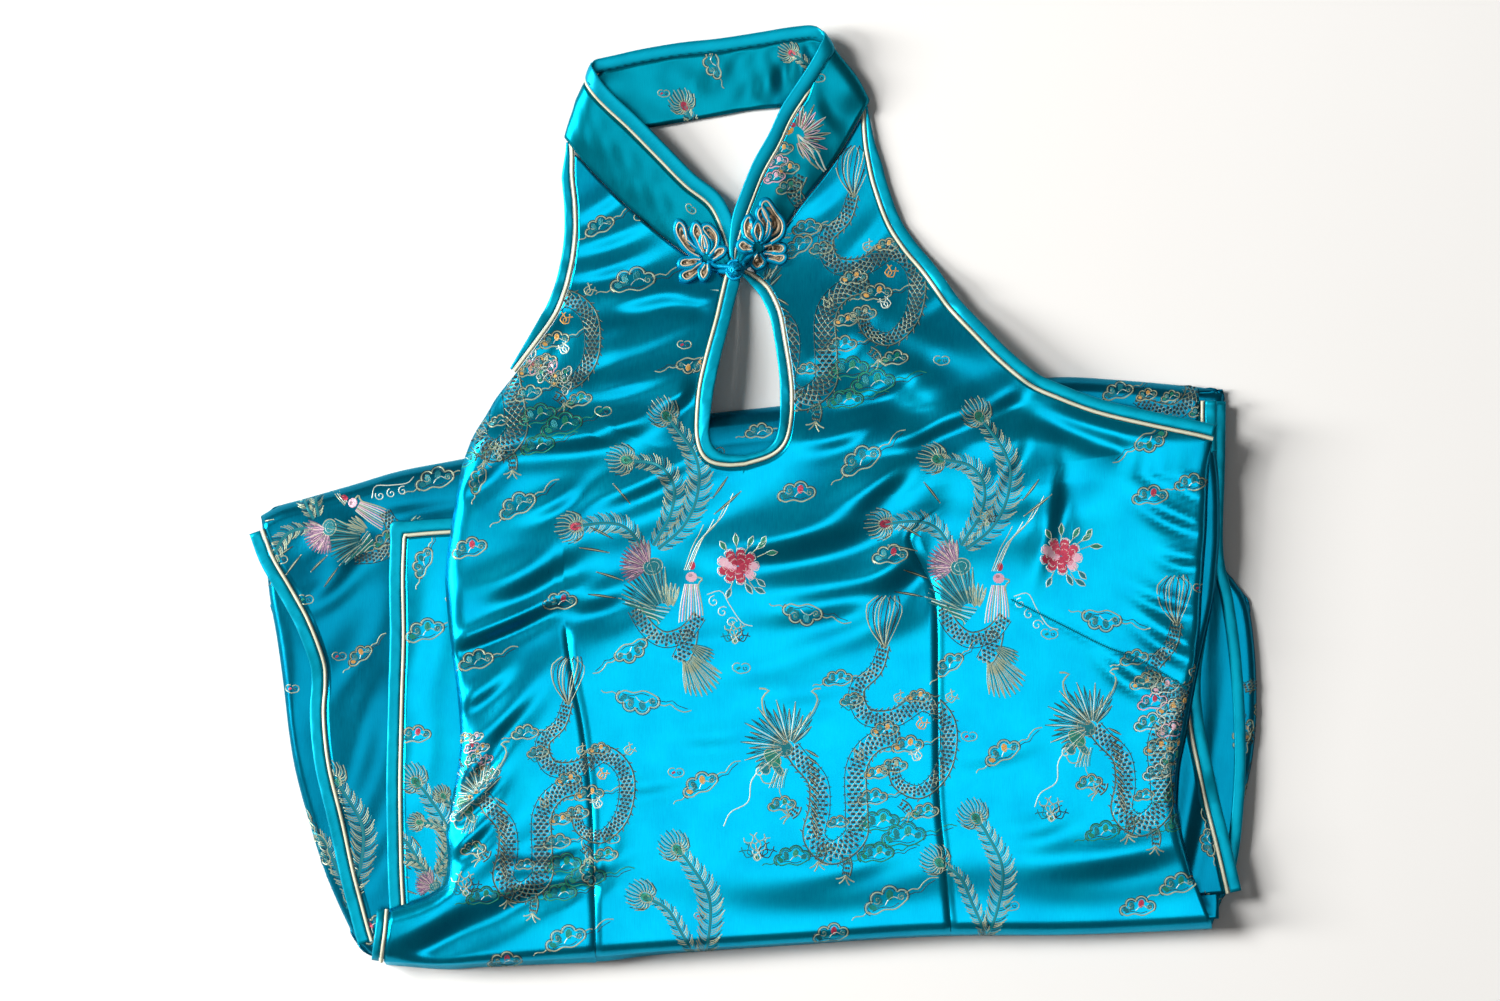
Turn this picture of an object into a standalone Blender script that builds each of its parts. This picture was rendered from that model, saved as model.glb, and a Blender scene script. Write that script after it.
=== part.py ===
# Folded halter cheongsam in satin brocade, lying face up on a flat surface.
#
# The bodice lies on top, with its stand collar and keyhole. The long skirt is folded under it at
# the waist (bottom edge), back at the top fold and once more, so its slits and one corner of its
# hem show at the sides. Sizes are in millimetres. X runs to the right as the dress is seen from
# above, Y towards the collar and Z up. The origin is on the surface, under the middle of the dress.

import math
from collections import namedtuple

import bmesh
import bpy
import numpy as np
from mathutils import Vector
from mathutils.bvhtree import BVHTree

MM = 0.001

# Driving sizes
CLOTH_WALL = 1.5
SEAM_GAP = 0.3
BINDING_WALL = 2.2
BINDING_WIDTH = 8.0
BINDING_DOME = 0.25
PIPING_RADIUS = 1.15
COLLAR_PIPING_RADIUS = 0.8
COLLAR_WALL = 1.6
TURN_EASE = 8.0
NECK_GAP = 0.7
LEDGE_TOP = 4.0
PILE_TOP = 9.0
ROLL_EDGE = 0.6
BODICE_PUFF = 4.5
HALTER_SLOPE = 62.0
WAIST_FOLD_RADIUS = 11.0
TOP_FOLD_RADIUS = 9.0
SIDE_FOLD_RADIUS = 10.0
FROG_CORD_RADIUS = 0.65
KNOT_RADIUS = 4.6

# Sizes that follow from them
PIPING_CHANNEL = PIPING_RADIUS + SEAM_GAP
LAYER = CLOTH_WALL + SEAM_GAP
BOUND_LAYER = (CLOTH_WALL + BINDING_WALL) / 2 + SEAM_GAP
SKIRT_TOP = PILE_TOP + LAYER
HEM_TOP = SKIRT_TOP + BOUND_LAYER
BACK_TOP = HEM_TOP + (BINDING_WALL - CLOTH_WALL) / 2 + BINDING_DOME + LAYER

Place = namedtuple("Place", "x y")
Section = namedtuple("Section", "foot_x foot_y foot_z top_x top_y top_z")
Ring = namedtuple("Ring", "z inset")
Crease = namedtuple("Crease", "x y angle length width height")
Petal = namedtuple("Petal", "angle reach width bend")
Paint = namedtuple("Paint", "red green blue roughness")

TURQUOISE = Paint(0.0, 0.42, 0.55, 0.4)
BINDING_BLUE = Paint(0.0, 0.34, 0.47, 0.35)
CREAM = Paint(0.78, 0.75, 0.5, 0.4)

# Plan outlines of the folded skirt
TOP_FOLD = [
    Place(-288, -9), Place(-278, -3.5), Place(-264, 0.5), Place(-236, 8.5), Place(-207, 17),
    Place(-168, 24.5), Place(-115, 36), Place(-69, 44), Place(-29, 50), Place(13, 54.5),
    Place(69, 61), Place(115, 66), Place(170, 71), Place(207, 69.5), Place(253, 65.5),
]
BUNDLE_LEFT = [
    Place(-288, -11), Place(-286, -29), Place(-283, -57), Place(-279, -80), Place(-275, -109),
    Place(-272, -135), Place(-268, -158), Place(-261, -184), Place(-252, -213),
    Place(-241, -239), Place(-230, -259), Place(-217, -266),
]
BUNDLE_RIGHT = [
    Place(253, 65.5), Place(266, 63), Place(269, 57), Place(268, 0), Place(267, -33),
    Place(276, -48), Place(283, -60), Place(287, -88), Place(288, -121), Place(286, -147),
    Place(282, -168), Place(276, -195), Place(271, -222), Place(261.5, -248),
]
SKIRT_SLIT_LEFT = [
    Place(-286, -17), Place(-280, -33), Place(-270, -50), Place(-259, -70), Place(-251, -92),
    Place(-250, -106), Place(-251, -124), Place(-248, -152), Place(-241, -181),
    Place(-234, -213), Place(-226, -244), Place(-223, -254),
]
SKIRT_SLIT_RIGHT = [
    Place(255.5, 57), Place(255.5, 40), Place(255.5, 0), Place(252, -60), Place(246.5, -100),
    Place(248, -129), Place(254.5, -161), Place(261.5, -190), Place(267, -213), Place(270, -226.5),
]
UNDER_SLIT_RIGHT = [
    Place(261.5, 57), Place(261, 20), Place(260, -30), Place(266, -60), Place(271, -100),
    Place(273, -150), Place(270, -195), Place(265, -222),
]
HEM_SLIT = [
    Place(-204.5, -238), Place(-206, -207), Place(-206.5, -161), Place(-205.5, -115),
    Place(-204.5, -80), Place(-205, -46), Place(-204, -20.5),
]
HEM_EDGE = [Place(-204, -20.5), Place(-178, -18.5), Place(-110, -15.5), Place(-35, -12)]

# Plan outlines of the bodice: piping lines where it is bound, folds and seams where it is not
ARMHOLE_LEFT = [
    Place(-108, 200), Place(-108, 187), Place(-106.5, 172.5), Place(-106, 158),
    Place(-107, 144), Place(-110, 128), Place(-114, 115), Place(-119, 104.5),
    Place(-126.5, 93.5), Place(-135, 82), Place(-141, 74),
]
ARMHOLE_RIGHT = [
    Place(60.5, 221), Place(61.5, 207), Place(63.5, 195), Place(66.5, 182), Place(74, 161),
    Place(83.5, 145.5), Place(95, 131.5), Place(109, 111.5), Place(123.5, 95.5),
    Place(138, 80.5), Place(155, 66.5), Place(172, 58.5), Place(195, 50), Place(224, 43),
    Place(250, 37.5), Place(260, 35),
]
KEYHOLE_LEFT = [
    Place(-19, 128), Place(-22, 115), Place(-24.5, 104), Place(-30, 83.5), Place(-34, 65.5),
    Place(-35.5, 49.5), Place(-35.5, 37.5), Place(-33, 27.5), Place(-27.5, 22), Place(-18, 20),
    Place(-8, 20.5),
]
KEYHOLE_RIGHT = [
    Place(-3.5, 130), Place(4, 124), Place(8.5, 117), Place(12.5, 107), Place(15, 93),
    Place(18, 73.5), Place(19, 57.5), Place(17.5, 41.5), Place(14, 31.5), Place(6, 25),
    Place(-8, 20.5),
]
OPENING_LEFT = [
    Place(-10.8, 127), Place(-14, 114), Place(-17, 101.5), Place(-21.5, 84), Place(-25, 68),
    Place(-27.5, 52), Place(-28.5, 41), Place(-27.5, 33.5), Place(-23.5, 28), Place(-17, 25.8),
    Place(-8, 25.5),
]
OPENING_RIGHT = [
    Place(-7.2, 127), Place(0, 118.5), Place(4, 111), Place(6.5, 104), Place(9, 91),
    Place(11.5, 72), Place(12, 57.5), Place(11.5, 43), Place(8.5, 33.5), Place(2, 28),
    Place(-8, 25.5),
]
FOLD_LEFT_UPPER = [
    Place(-146, 66), Place(-152, 58), Place(-157, 49), Place(-164.5, 36), Place(-170.5, 20),
]
FOLD_LEFT_LOWER = [
    Place(-170.5, 20), Place(-174, 0), Place(-177.5, -20), Place(-180, -43), Place(-179, -63),
    Place(-176.5, -86), Place(-173.5, -109), Place(-171.5, -135), Place(-173, -155),
    Place(-177, -175), Place(-179.5, -192), Place(-178.5, -208), Place(-180.5, -221),
]
WAIST_SLIT_TOP = [Place(-212, -234.5), Place(-199, -230.5), Place(-188, -226), Place(-180.5, -221)]
WAIST_SLIT = [Place(-213.5, -235), Place(-214, -245), Place(-215.5, -256), Place(-217, -265)]
SIDE_SEAM = [
    Place(258.5, 20), Place(257.5, 0), Place(257, -17), Place(254.5, -52), Place(253, -77),
    Place(250, -98), Place(246, -115), Place(242, -135), Place(239, -158), Place(239, -172),
    Place(243, -192), Place(249.5, -217),
]
SIDE_SEAM_LOW = [Place(249.5, -217), Place(256, -234), Place(261.5, -248)]
WAIST_FOLD = [
    Place(-215.5, -269), Place(-184, -271.5), Place(-161, -270.5), Place(-126, -268),
    Place(-92, -265.5), Place(-23, -260.5), Place(23, -257.5), Place(100, -252.5),
    Place(172, -252), Place(224, -250), Place(261.5, -248),
]
BACK_EDGE = [
    Place(262.5, 28), Place(264.5, 11), Place(265, -17), Place(263, -46), Place(260.5, -63),
    Place(256.5, -80), Place(253, -97), Place(249.5, -115), Place(246, -135), Place(242.5, -152),
    Place(241, -170), Place(240, -200),
]

# The collar band, from the wearer's right front end round the nape to the other front end:
# where its foot and its top edge lie
COLLAR = [
    Section(-18.5, 132, 2.4, -11.5, 139, 3.6), Section(-26.5, 134, 2.2, -12.5, 149.5, 4.4),
    Section(-36, 139, 2.1, -15, 161, 5.6), Section(-47, 146, 2.1, -23, 176, 7.2),
    Section(-60.5, 156.5, 2.1, -37.5, 187.5, 9.2), Section(-76, 170, 2.2, -53, 203, 11.0),
    Section(-92, 185.5, 2.7, -70, 220, 12.8), Section(-102, 196.5, 3.7, -82.5, 231.5, 14.0),
    Section(-108, 204, 4.8, -90.5, 240, 15.0), Section(-111, 208, 4.2, -94, 245.5, 14.6),
    Section(-112, 210, 2.9, -96, 249, 13.0), Section(-110.5, 212, 1.5, -96, 252, 11.2),
    Section(-105, 213, 0.9, -93.5, 253.5, 10.2), Section(-96, 213.5, 0.9, -89, 254.5, 9.8),
    Section(-85, 214, 0.9, -82, 256, 9.8), Section(-67.5, 215, 0.9, -69, 259, 9.4),
    Section(-46, 218.5, 0.9, -46, 263, 9.0), Section(-26, 222, 0.9, -23, 265.5, 9.0),
    Section(-6, 225.5, 0.9, 0, 269, 9.2), Section(15, 227.5, 0.9, 15, 271.5, 9.6),
    Section(34, 229.5, 0.9, 23, 272.5, 9.8), Section(47, 231, 0.9, 28.5, 273, 10.2),
    Section(56, 232.8, 0.9, 33, 272.3, 10.8), Section(61.5, 233, 1.7, 36, 270.2, 11.8),
    Section(63.5, 230.8, 3.2, 37.5, 266.5, 13.6), Section(61.5, 226.5, 4.8, 35, 260.5, 15.0),
    Section(57, 219, 4.0, 29.5, 250.5, 14.4), Section(48.5, 204, 2.9, 21.5, 238.5, 13.2),
    Section(38.5, 189, 2.1, 13, 225.5, 12.2), Section(26.5, 174, 2.1, 6, 210.5, 11.6),
    Section(16, 159.5, 2.4, -2.5, 195.5, 11.0), Section(7, 147.5, 3.2, -9, 180, 10.6),
    Section(-1.5, 140, 4.6, -14.5, 164.5, 10.0), Section(-8, 136, 6.0, -16.5, 149.5, 9.2),
    Section(-12.5, 133.5, 6.8, -16, 140, 8.6),
]

# How many of those sections each front half of the collar has, from its end to the shoulder
FRONT_SECTIONS = 9

# The hidden layers from the surface up: each groove parts one folded layer from the next
LOWER_RINGS = [
    Ring(0.0, 1.6), Ring(0.5, 0.2), Ring(1.4, 0.3), Ring(1.8, 1.5), Ring(2.2, 0.3),
    Ring(3.2, 0.2), Ring(LEDGE_TOP, 2.2),
]
UPPER_RINGS = [
    Ring(LEDGE_TOP, 6.0), Ring(4.8, 4.8), Ring(6.0, 5.0), Ring(6.5, 6.2), Ring(7.0, 5.0),
    Ring(8.2, 5.2), Ring(PILE_TOP, 8.0),
]

# Largest folds of the bodice front: middle, direction in degrees, length, width and height
BODICE_FOLDS = [
    Crease(-118, 57, 28, 120, 26, 1.5), Crease(-60, 62, 25, 90, 22, -1.3),
    Crease(-150, -56, 22, 60, 18, 1.6), Crease(-140, -76, 24, 64, 16, -1.4),
    Crease(-120, -20, 18, 110, 30, 1.3), Crease(-95, 5, 24, 130, 22, -1.3),
    Crease(-20, -40, 30, 110, 30, 1.2), Crease(40, -18, 40, 120, 30, -1.3),
    Crease(60, 60, 14, 110, 26, -1.4), Crease(95, 35, 8, 120, 24, 1.3),
    Crease(190, -5, -14, 90, 22, -1.0), Crease(60, -75, 24, 80, 26, -1.2),
    Crease(-40, -150, 8, 130, 26, 0.9), Crease(-155, -165, 38, 60, 16, 1.1),
    Crease(-150, -200, 30, 70, 18, -1.1), Crease(-80, 130, 12, 50, 12, 0.8),
    Crease(-75, 105, 8, 60, 12, -0.8), Crease(30, 120, 20, 50, 14, 0.8),
    Crease(120, 70, -38, 80, 18, 1.0), Crease(150, -190, 6, 120, 26, -0.9),
]

# Flower frogs: loops of one bent cord round a hub
LEFT_HUB = Place(-31, 140)
RIGHT_HUB = Place(-1.5, 147)
KNOT = Place(-13.5, 134)
LEFT_PETALS = [
    Petal(24, 12, 3.2, 8), Petal(72, 18, 3.8, 8), Petal(120, 20.5, 4.2, -12),
    Petal(172, 11.5, 3.2, 6), Petal(232, 12, 3.2, 6), Petal(292, 11.5, 3.4, 0),
]
RIGHT_PETALS = [
    Petal(18, 14.5, 3.4, -8), Petal(64, 20.5, 4.2, 10), Petal(112, 15.5, 3.8, -6),
    Petal(164, 11.5, 3.2, -6), Petal(238, 11.5, 3.4, 0), Petal(312, 11.5, 3.2, 6),
]
FROG_HUB_RADIUS = 4.5


def plan(table):
    return np.array([(p.x, p.y) for p in table], float)


def smooth_line(points, steps):
    """Points along a smooth curve through the given ones, at shares of its length."""
    if isinstance(points, list):
        points = plan(points)
    if isinstance(steps, int):
        steps = np.linspace(0, 1, steps)
    ends = np.vstack([2 * points[0] - points[1], points, 2 * points[-1] - points[-2]])
    t = np.linspace(0, 1, 16, endpoint=False)[:, None]
    pieces = []
    for a, b, c, d in zip(ends, ends[1:], ends[2:], ends[3:]):
        bend = (2 * a - 5 * b + 4 * c - d) * t**2 + (3 * b - a - 3 * c + d) * t**3
        pieces.append(0.5 * (2 * b + (c - a) * t + bend))
    fine = np.vstack([*pieces, points[-1:]])
    run = shares(fine)
    return np.column_stack([np.interp(steps, run, fine[:, k]) for k in range(fine.shape[1])])


def shares(line):
    """How far along a line each of its points is, from 0 to 1."""
    run = np.cumsum(np.linalg.norm(np.diff(line, axis=0), axis=1))
    return np.concatenate([[0], run / run[-1]])


def moved_left(line, distance):
    """A plan line moved to the left of the way it runs, with mitred corners."""
    step = np.diff(line, axis=0)
    step /= np.linalg.norm(step, axis=1)[:, None]
    normal = np.column_stack([-step[:, 1], step[:, 0]])
    before = np.vstack([normal[:1], normal])
    after = np.vstack([normal, normal[-1:]])
    mitre = (before + after) / (1 + (before * after).sum(axis=1))[:, None]
    return line + mitre * np.reshape(distance, (-1, 1))


def patch(top, bottom, left, right):
    """A grid of plan points between four border lines, top row first."""
    u = shares(top)[None, :, None]
    v = shares(left)[:, None, None]
    down = (1 - v) * top[None] + v * bottom[None]
    across = (1 - u) * left[:, None] + u * right[:, None]
    upper_corners = (1 - v) * ((1 - u) * top[0] + u * top[-1])
    lower_corners = v * ((1 - u) * bottom[0] + u * bottom[-1])
    return down + across - upper_corners - lower_corners


def distance_to(line, xy):
    """Shortest plan distance from each point to a line."""
    best = np.full(xy.shape[:-1], np.inf)
    for start, way in zip(line, np.diff(line, axis=0)):
        square = way @ way
        if square > 0:
            t = np.clip(((xy - start) @ way) / square, 0, 1)
            best = np.minimum(best, np.linalg.norm(xy - start - t[..., None] * way, axis=-1))
    return best


def smoothstep(t):
    t = np.clip(t, 0, 1)
    return t * t * (3 - 2 * t)


def rounded(distance, radius):
    """Height share of a round fold, 0 at its edge and 1 from its radius inwards."""
    t = np.clip(distance / radius, 0, 1)
    return np.sqrt(1 - (1 - t) ** 2)


def folds(xy):
    """Height that the table of soft ridges and troughs adds."""
    total = np.zeros(xy.shape[:-1])
    for fold in BODICE_FOLDS:
        angle = math.radians(fold.angle)
        dx, dy = xy[..., 0] - fold.x, xy[..., 1] - fold.y
        along = dx * math.cos(angle) + dy * math.sin(angle)
        across = dy * math.cos(angle) - dx * math.sin(angle)
        total += fold.height * np.exp(-((2 * along / fold.length) ** 2) - (2 * across / fold.width) ** 2)
    return total


top_fold = smooth_line(TOP_FOLD, 60)
waist_fold = smooth_line(WAIST_FOLD, 60)
side_fold = np.vstack([
    smooth_line(FOLD_LEFT_UPPER, 12), smooth_line(FOLD_LEFT_LOWER, 30), plan(WAIST_SLIT_TOP)[::-1],
])
side_seam = smooth_line(SIDE_SEAM, 30)
collar_foot = np.array([(s.foot_x, s.foot_y) for s in COLLAR], float)
keyhole = plan(KEYHOLE_LEFT + KEYHOLE_RIGHT[::-1])


def skirt_height(xy):
    """Upper face of the skirt front, rolled down at the top fold."""
    return np.maximum(SKIRT_TOP * rounded(distance_to(top_fold, xy), TOP_FOLD_RADIUS), ROLL_EDGE)


def under_skirt_height(xy):
    """Level of the lower slit edge, which lies on the ledge."""
    return LEDGE_TOP + BOUND_LAYER + 0 * xy[..., 0]


def hem_height(xy):
    return HEM_TOP + 0 * xy[..., 0]


def back_height(xy):
    return BACK_TOP + 0 * xy[..., 0]


def bodice_height(xy):
    """Upper face of the bodice front: on the skirt and the back, then down to the halter."""
    past_fold = xy[..., 1] - np.interp(xy[..., 0], top_fold[:, 0], top_fold[:, 1])
    rest = SKIRT_TOP * smoothstep(1 - past_fold / HALTER_SLOPE)
    rest += (BACK_TOP - SKIRT_TOP) * smoothstep((56 - xy[..., 1]) / 24)
    left = distance_to(side_fold, xy)
    right = distance_to(side_seam, xy)
    puff = BODICE_PUFF * smoothstep((170 - xy[..., 1]) / 120)
    puff *= rounded(left, SIDE_FOLD_RADIUS) * rounded(right, 0.6 * SIDE_FOLD_RADIUS)
    calm = smoothstep(left / 22) * smoothstep(right / 22) * smoothstep(distance_to(keyhole, xy) / 20)
    settle = (BOUND_LAYER - LAYER) * smoothstep((20 - xy[..., 1]) / 30)
    height = rest + BOUND_LAYER - settle + puff + calm * folds(xy)
    waist_roll = rounded(distance_to(waist_fold, xy), WAIST_FOLD_RADIUS)
    return np.maximum(height * waist_roll, ROLL_EDGE)


def material(name, paint):
    made = bpy.data.materials.new(name)
    made.use_nodes = True
    shader = made.node_tree.nodes["Principled BSDF"]
    shader.inputs["Base Color"].default_value = (paint.red, paint.green, paint.blue, 1)
    shader.inputs["Roughness"].default_value = paint.roughness
    shader.inputs["Metallic"].default_value = 0.0
    return made


def place(name, data, paint):
    """Puts one named piece in the dress."""
    data.materials.append(material(name, paint))
    piece = bpy.data.objects.new(name, data)
    garment.objects.link(piece)
    return piece


def mesh_from(name, bm):
    mesh = bpy.data.meshes.new(name)
    bm.to_mesh(mesh)
    bm.free()
    mesh.shade_smooth()
    return mesh


def cloth(name, grids, wall, paint, offset=-1.0):
    """A wall of cloth on grids of points that share their border points."""
    bm = bmesh.new()
    for grid in grids:
        rows = [[bm.verts.new(point * MM) for point in row] for row in grid]
        for upper, lower in zip(rows, rows[1:]):
            for a, b, c, d in zip(upper, lower, lower[1:], upper[1:]):
                bm.faces.new((a, b, c, d))
    bmesh.ops.remove_doubles(bm, verts=bm.verts, dist=0.02 * MM)
    bmesh.ops.triangulate(bm, faces=bm.faces)
    piece = place(name, mesh_from(name, bm), paint)
    thicken = piece.modifiers.new("wall", "SOLIDIFY")
    thicken.thickness = wall * MM
    thicken.offset = offset
    return piece


def cord(name, line, radius, paint, closed=False):
    """A round cord along a line of points."""
    curve = bpy.data.curves.new(name, "CURVE")
    curve.dimensions = "3D"
    curve.bevel_depth = radius * MM
    curve.bevel_resolution = 1
    curve.use_fill_caps = not closed
    spline = curve.splines.new("POLY")
    spline.points.add(len(line) - 1)
    spline.use_cyclic_u = closed
    for point, (x, y, z) in zip(spline.points, line * MM):
        point.co = (x, y, z, 1)
    return place(name, curve, paint)


def piping(name, line, height):
    """The cord between a panel and its binding, level with the middle of the cloth."""
    middle = np.maximum(height(line) - CLOTH_WALL / 2, PIPING_RADIUS)
    return cord(name, np.column_stack([line, middle]), PIPING_RADIUS, CREAM)


def binding(name, line, edge, height):
    """The folded strip from its piping line to the garment's edge, a little domed."""
    way = edge - line
    width = np.linalg.norm(way, axis=1)[:, None]
    rows = []
    for share, dome in ((0, 0), (0.5, BINDING_DOME), (1, 0)):
        spot = line + way * (PIPING_CHANNEL + share * (width - PIPING_CHANNEL)) / width
        level = height(line) + (BINDING_WALL - CLOTH_WALL) / 2 + dome
        rows.append(np.column_stack([spot, np.maximum(level, BINDING_WALL)]))
    grid = np.stack(rows, axis=1)
    if np.cross(way[0], line[1] - line[0]) > 0:
        grid = grid[:, ::-1]
    return cloth(name, [grid], BINDING_WALL, BINDING_BLUE)


def trim(name, line, edge, height):
    """A binding and its piping as two pieces."""
    piping(name + "_piping", line, height)
    binding(name + "_binding", line, edge, height)


def make_folded_skirt():
    """The hidden layers as one rounded solid, whose lower ledge is the skirt back that shows."""
    across, down = 18, 12
    roof = SKIRT_TOP - CLOTH_WALL
    waist_clearance = CLOTH_WALL + SEAM_GAP + 2.2
    bm = bmesh.new()
    loops = []
    for rings, left_edge, right_edge in (
        (LOWER_RINGS, BUNDLE_LEFT, BUNDLE_RIGHT), (UPPER_RINGS, SKIRT_SLIT_LEFT, SKIRT_SLIT_RIGHT),
    ):
        for ring in rings:
            left = moved_left(smooth_line(left_edge, down), ring.inset)
            right = moved_left(smooth_line(right_edge, down), -ring.inset)
            roll = (TOP_FOLD_RADIUS - CLOTH_WALL) * (1 - math.sqrt(1 - (ring.z / roof) ** 2))
            drop = CLOTH_WALL + SEAM_GAP + 0.6 + roll + 0.5 * ring.inset
            rise = waist_clearance + 0.5 * ring.inset
            upper_x = np.linspace(left[0, 0], right[0, 0], across)
            lower_x = np.linspace(left[-1, 0], right[-1, 0], across)
            upper = np.column_stack([upper_x, np.interp(upper_x, *top_fold.T) - drop])
            lower = np.column_stack([lower_x, np.interp(lower_x, *waist_fold.T) + rise])
            left = left[(left[:, 1] < upper[0, 1] - 2) & (left[:, 1] > lower[0, 1] + 2)]
            right = right[(right[:, 1] < upper[-1, 1] - 2) & (right[:, 1] > lower[-1, 1] + 2)]
            left = smooth_line(np.vstack([upper[:1], left, lower[:1]]), down)
            right = smooth_line(np.vstack([upper[-1:], right, lower[-1:]]), down)
            outline = np.vstack([upper, right[1:-1], lower[::-1], left[1:-1][::-1]])
            loops.append([bm.verts.new((x * MM, y * MM, ring.z * MM)) for x, y in outline])
    for a, b in zip(loops, loops[1:]):
        for k in range(len(a)):
            after = (k + 1) % len(a)
            bm.faces.new((a[k], a[after], b[after], b[k]))
    ends = [bm.faces.new(loops[0]), bm.faces.new(loops[-1])]
    bmesh.ops.triangulate(bm, faces=ends)
    bmesh.ops.recalc_face_normals(bm, faces=bm.faces)
    place("folded_skirt", mesh_from("folded_skirt", bm), TURQUOISE)


def make_skirt():
    """The skirt front from the top fold down, and the hem corner of the skirt back on it."""
    across, down = 20, 20
    near_fold = np.array([0, 0.3, 1.2, 3, 6, 9.5])
    slit_left = smooth_line(SKIRT_SLIT_LEFT, down)
    slit_right = smooth_line(SKIRT_SLIT_RIGHT, down)
    left = moved_left(slit_left, PIPING_CHANNEL)
    right = moved_left(slit_right, -PIPING_CHANNEL)
    top = smooth_line(TOP_FOLD, across)
    left = np.vstack([top[0], left[2:]])
    right = np.vstack([top[-1], right[2:]])
    low = smooth_line(
        np.vstack([left[-1], [-150, -252], [40, -240], [200, -232], right[-1]]), shares(top),
    )
    grid = patch(top, low, left, right)
    way = grid[1] - grid[0]
    way /= np.linalg.norm(way, axis=1)[:, None]
    roll = [grid[0] + way * distance for distance in near_fold]
    grid = np.concatenate([roll, grid[1:]])
    cloth("skirt_front", [np.dstack([grid, skirt_height(grid)])], CLOTH_WALL, TURQUOISE)

    trim("slit_left", slit_left, moved_left(slit_left, -BINDING_WIDTH), skirt_height)
    trim("slit_right", slit_right, moved_left(slit_right, BINDING_WIDTH), skirt_height)
    line = smooth_line(UNDER_SLIT_RIGHT, 18)
    binding("under_slit_right_binding", line, moved_left(line, BINDING_WIDTH), under_skirt_height)

    down, across = 9, 8
    line = np.vstack([smooth_line(HEM_SLIT, down), smooth_line(HEM_EDGE, across)[1:]])
    trim("hem", line, moved_left(line, BINDING_WIDTH), hem_height)
    panel = moved_left(line, -PIPING_CHANNEL)
    left = panel[:down][::-1]
    top = panel[down - 1 :]
    hidden_corner = np.array([-35, -236])
    low = smooth_line(np.vstack([left[-1], hidden_corner]), across)
    right = smooth_line(np.vstack([top[-1], hidden_corner]), down)
    hem = patch(top, low, left, right)
    cloth("skirt_back_hem", [np.dstack([hem, hem_height(hem)])], CLOTH_WALL, TURQUOISE)


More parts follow.
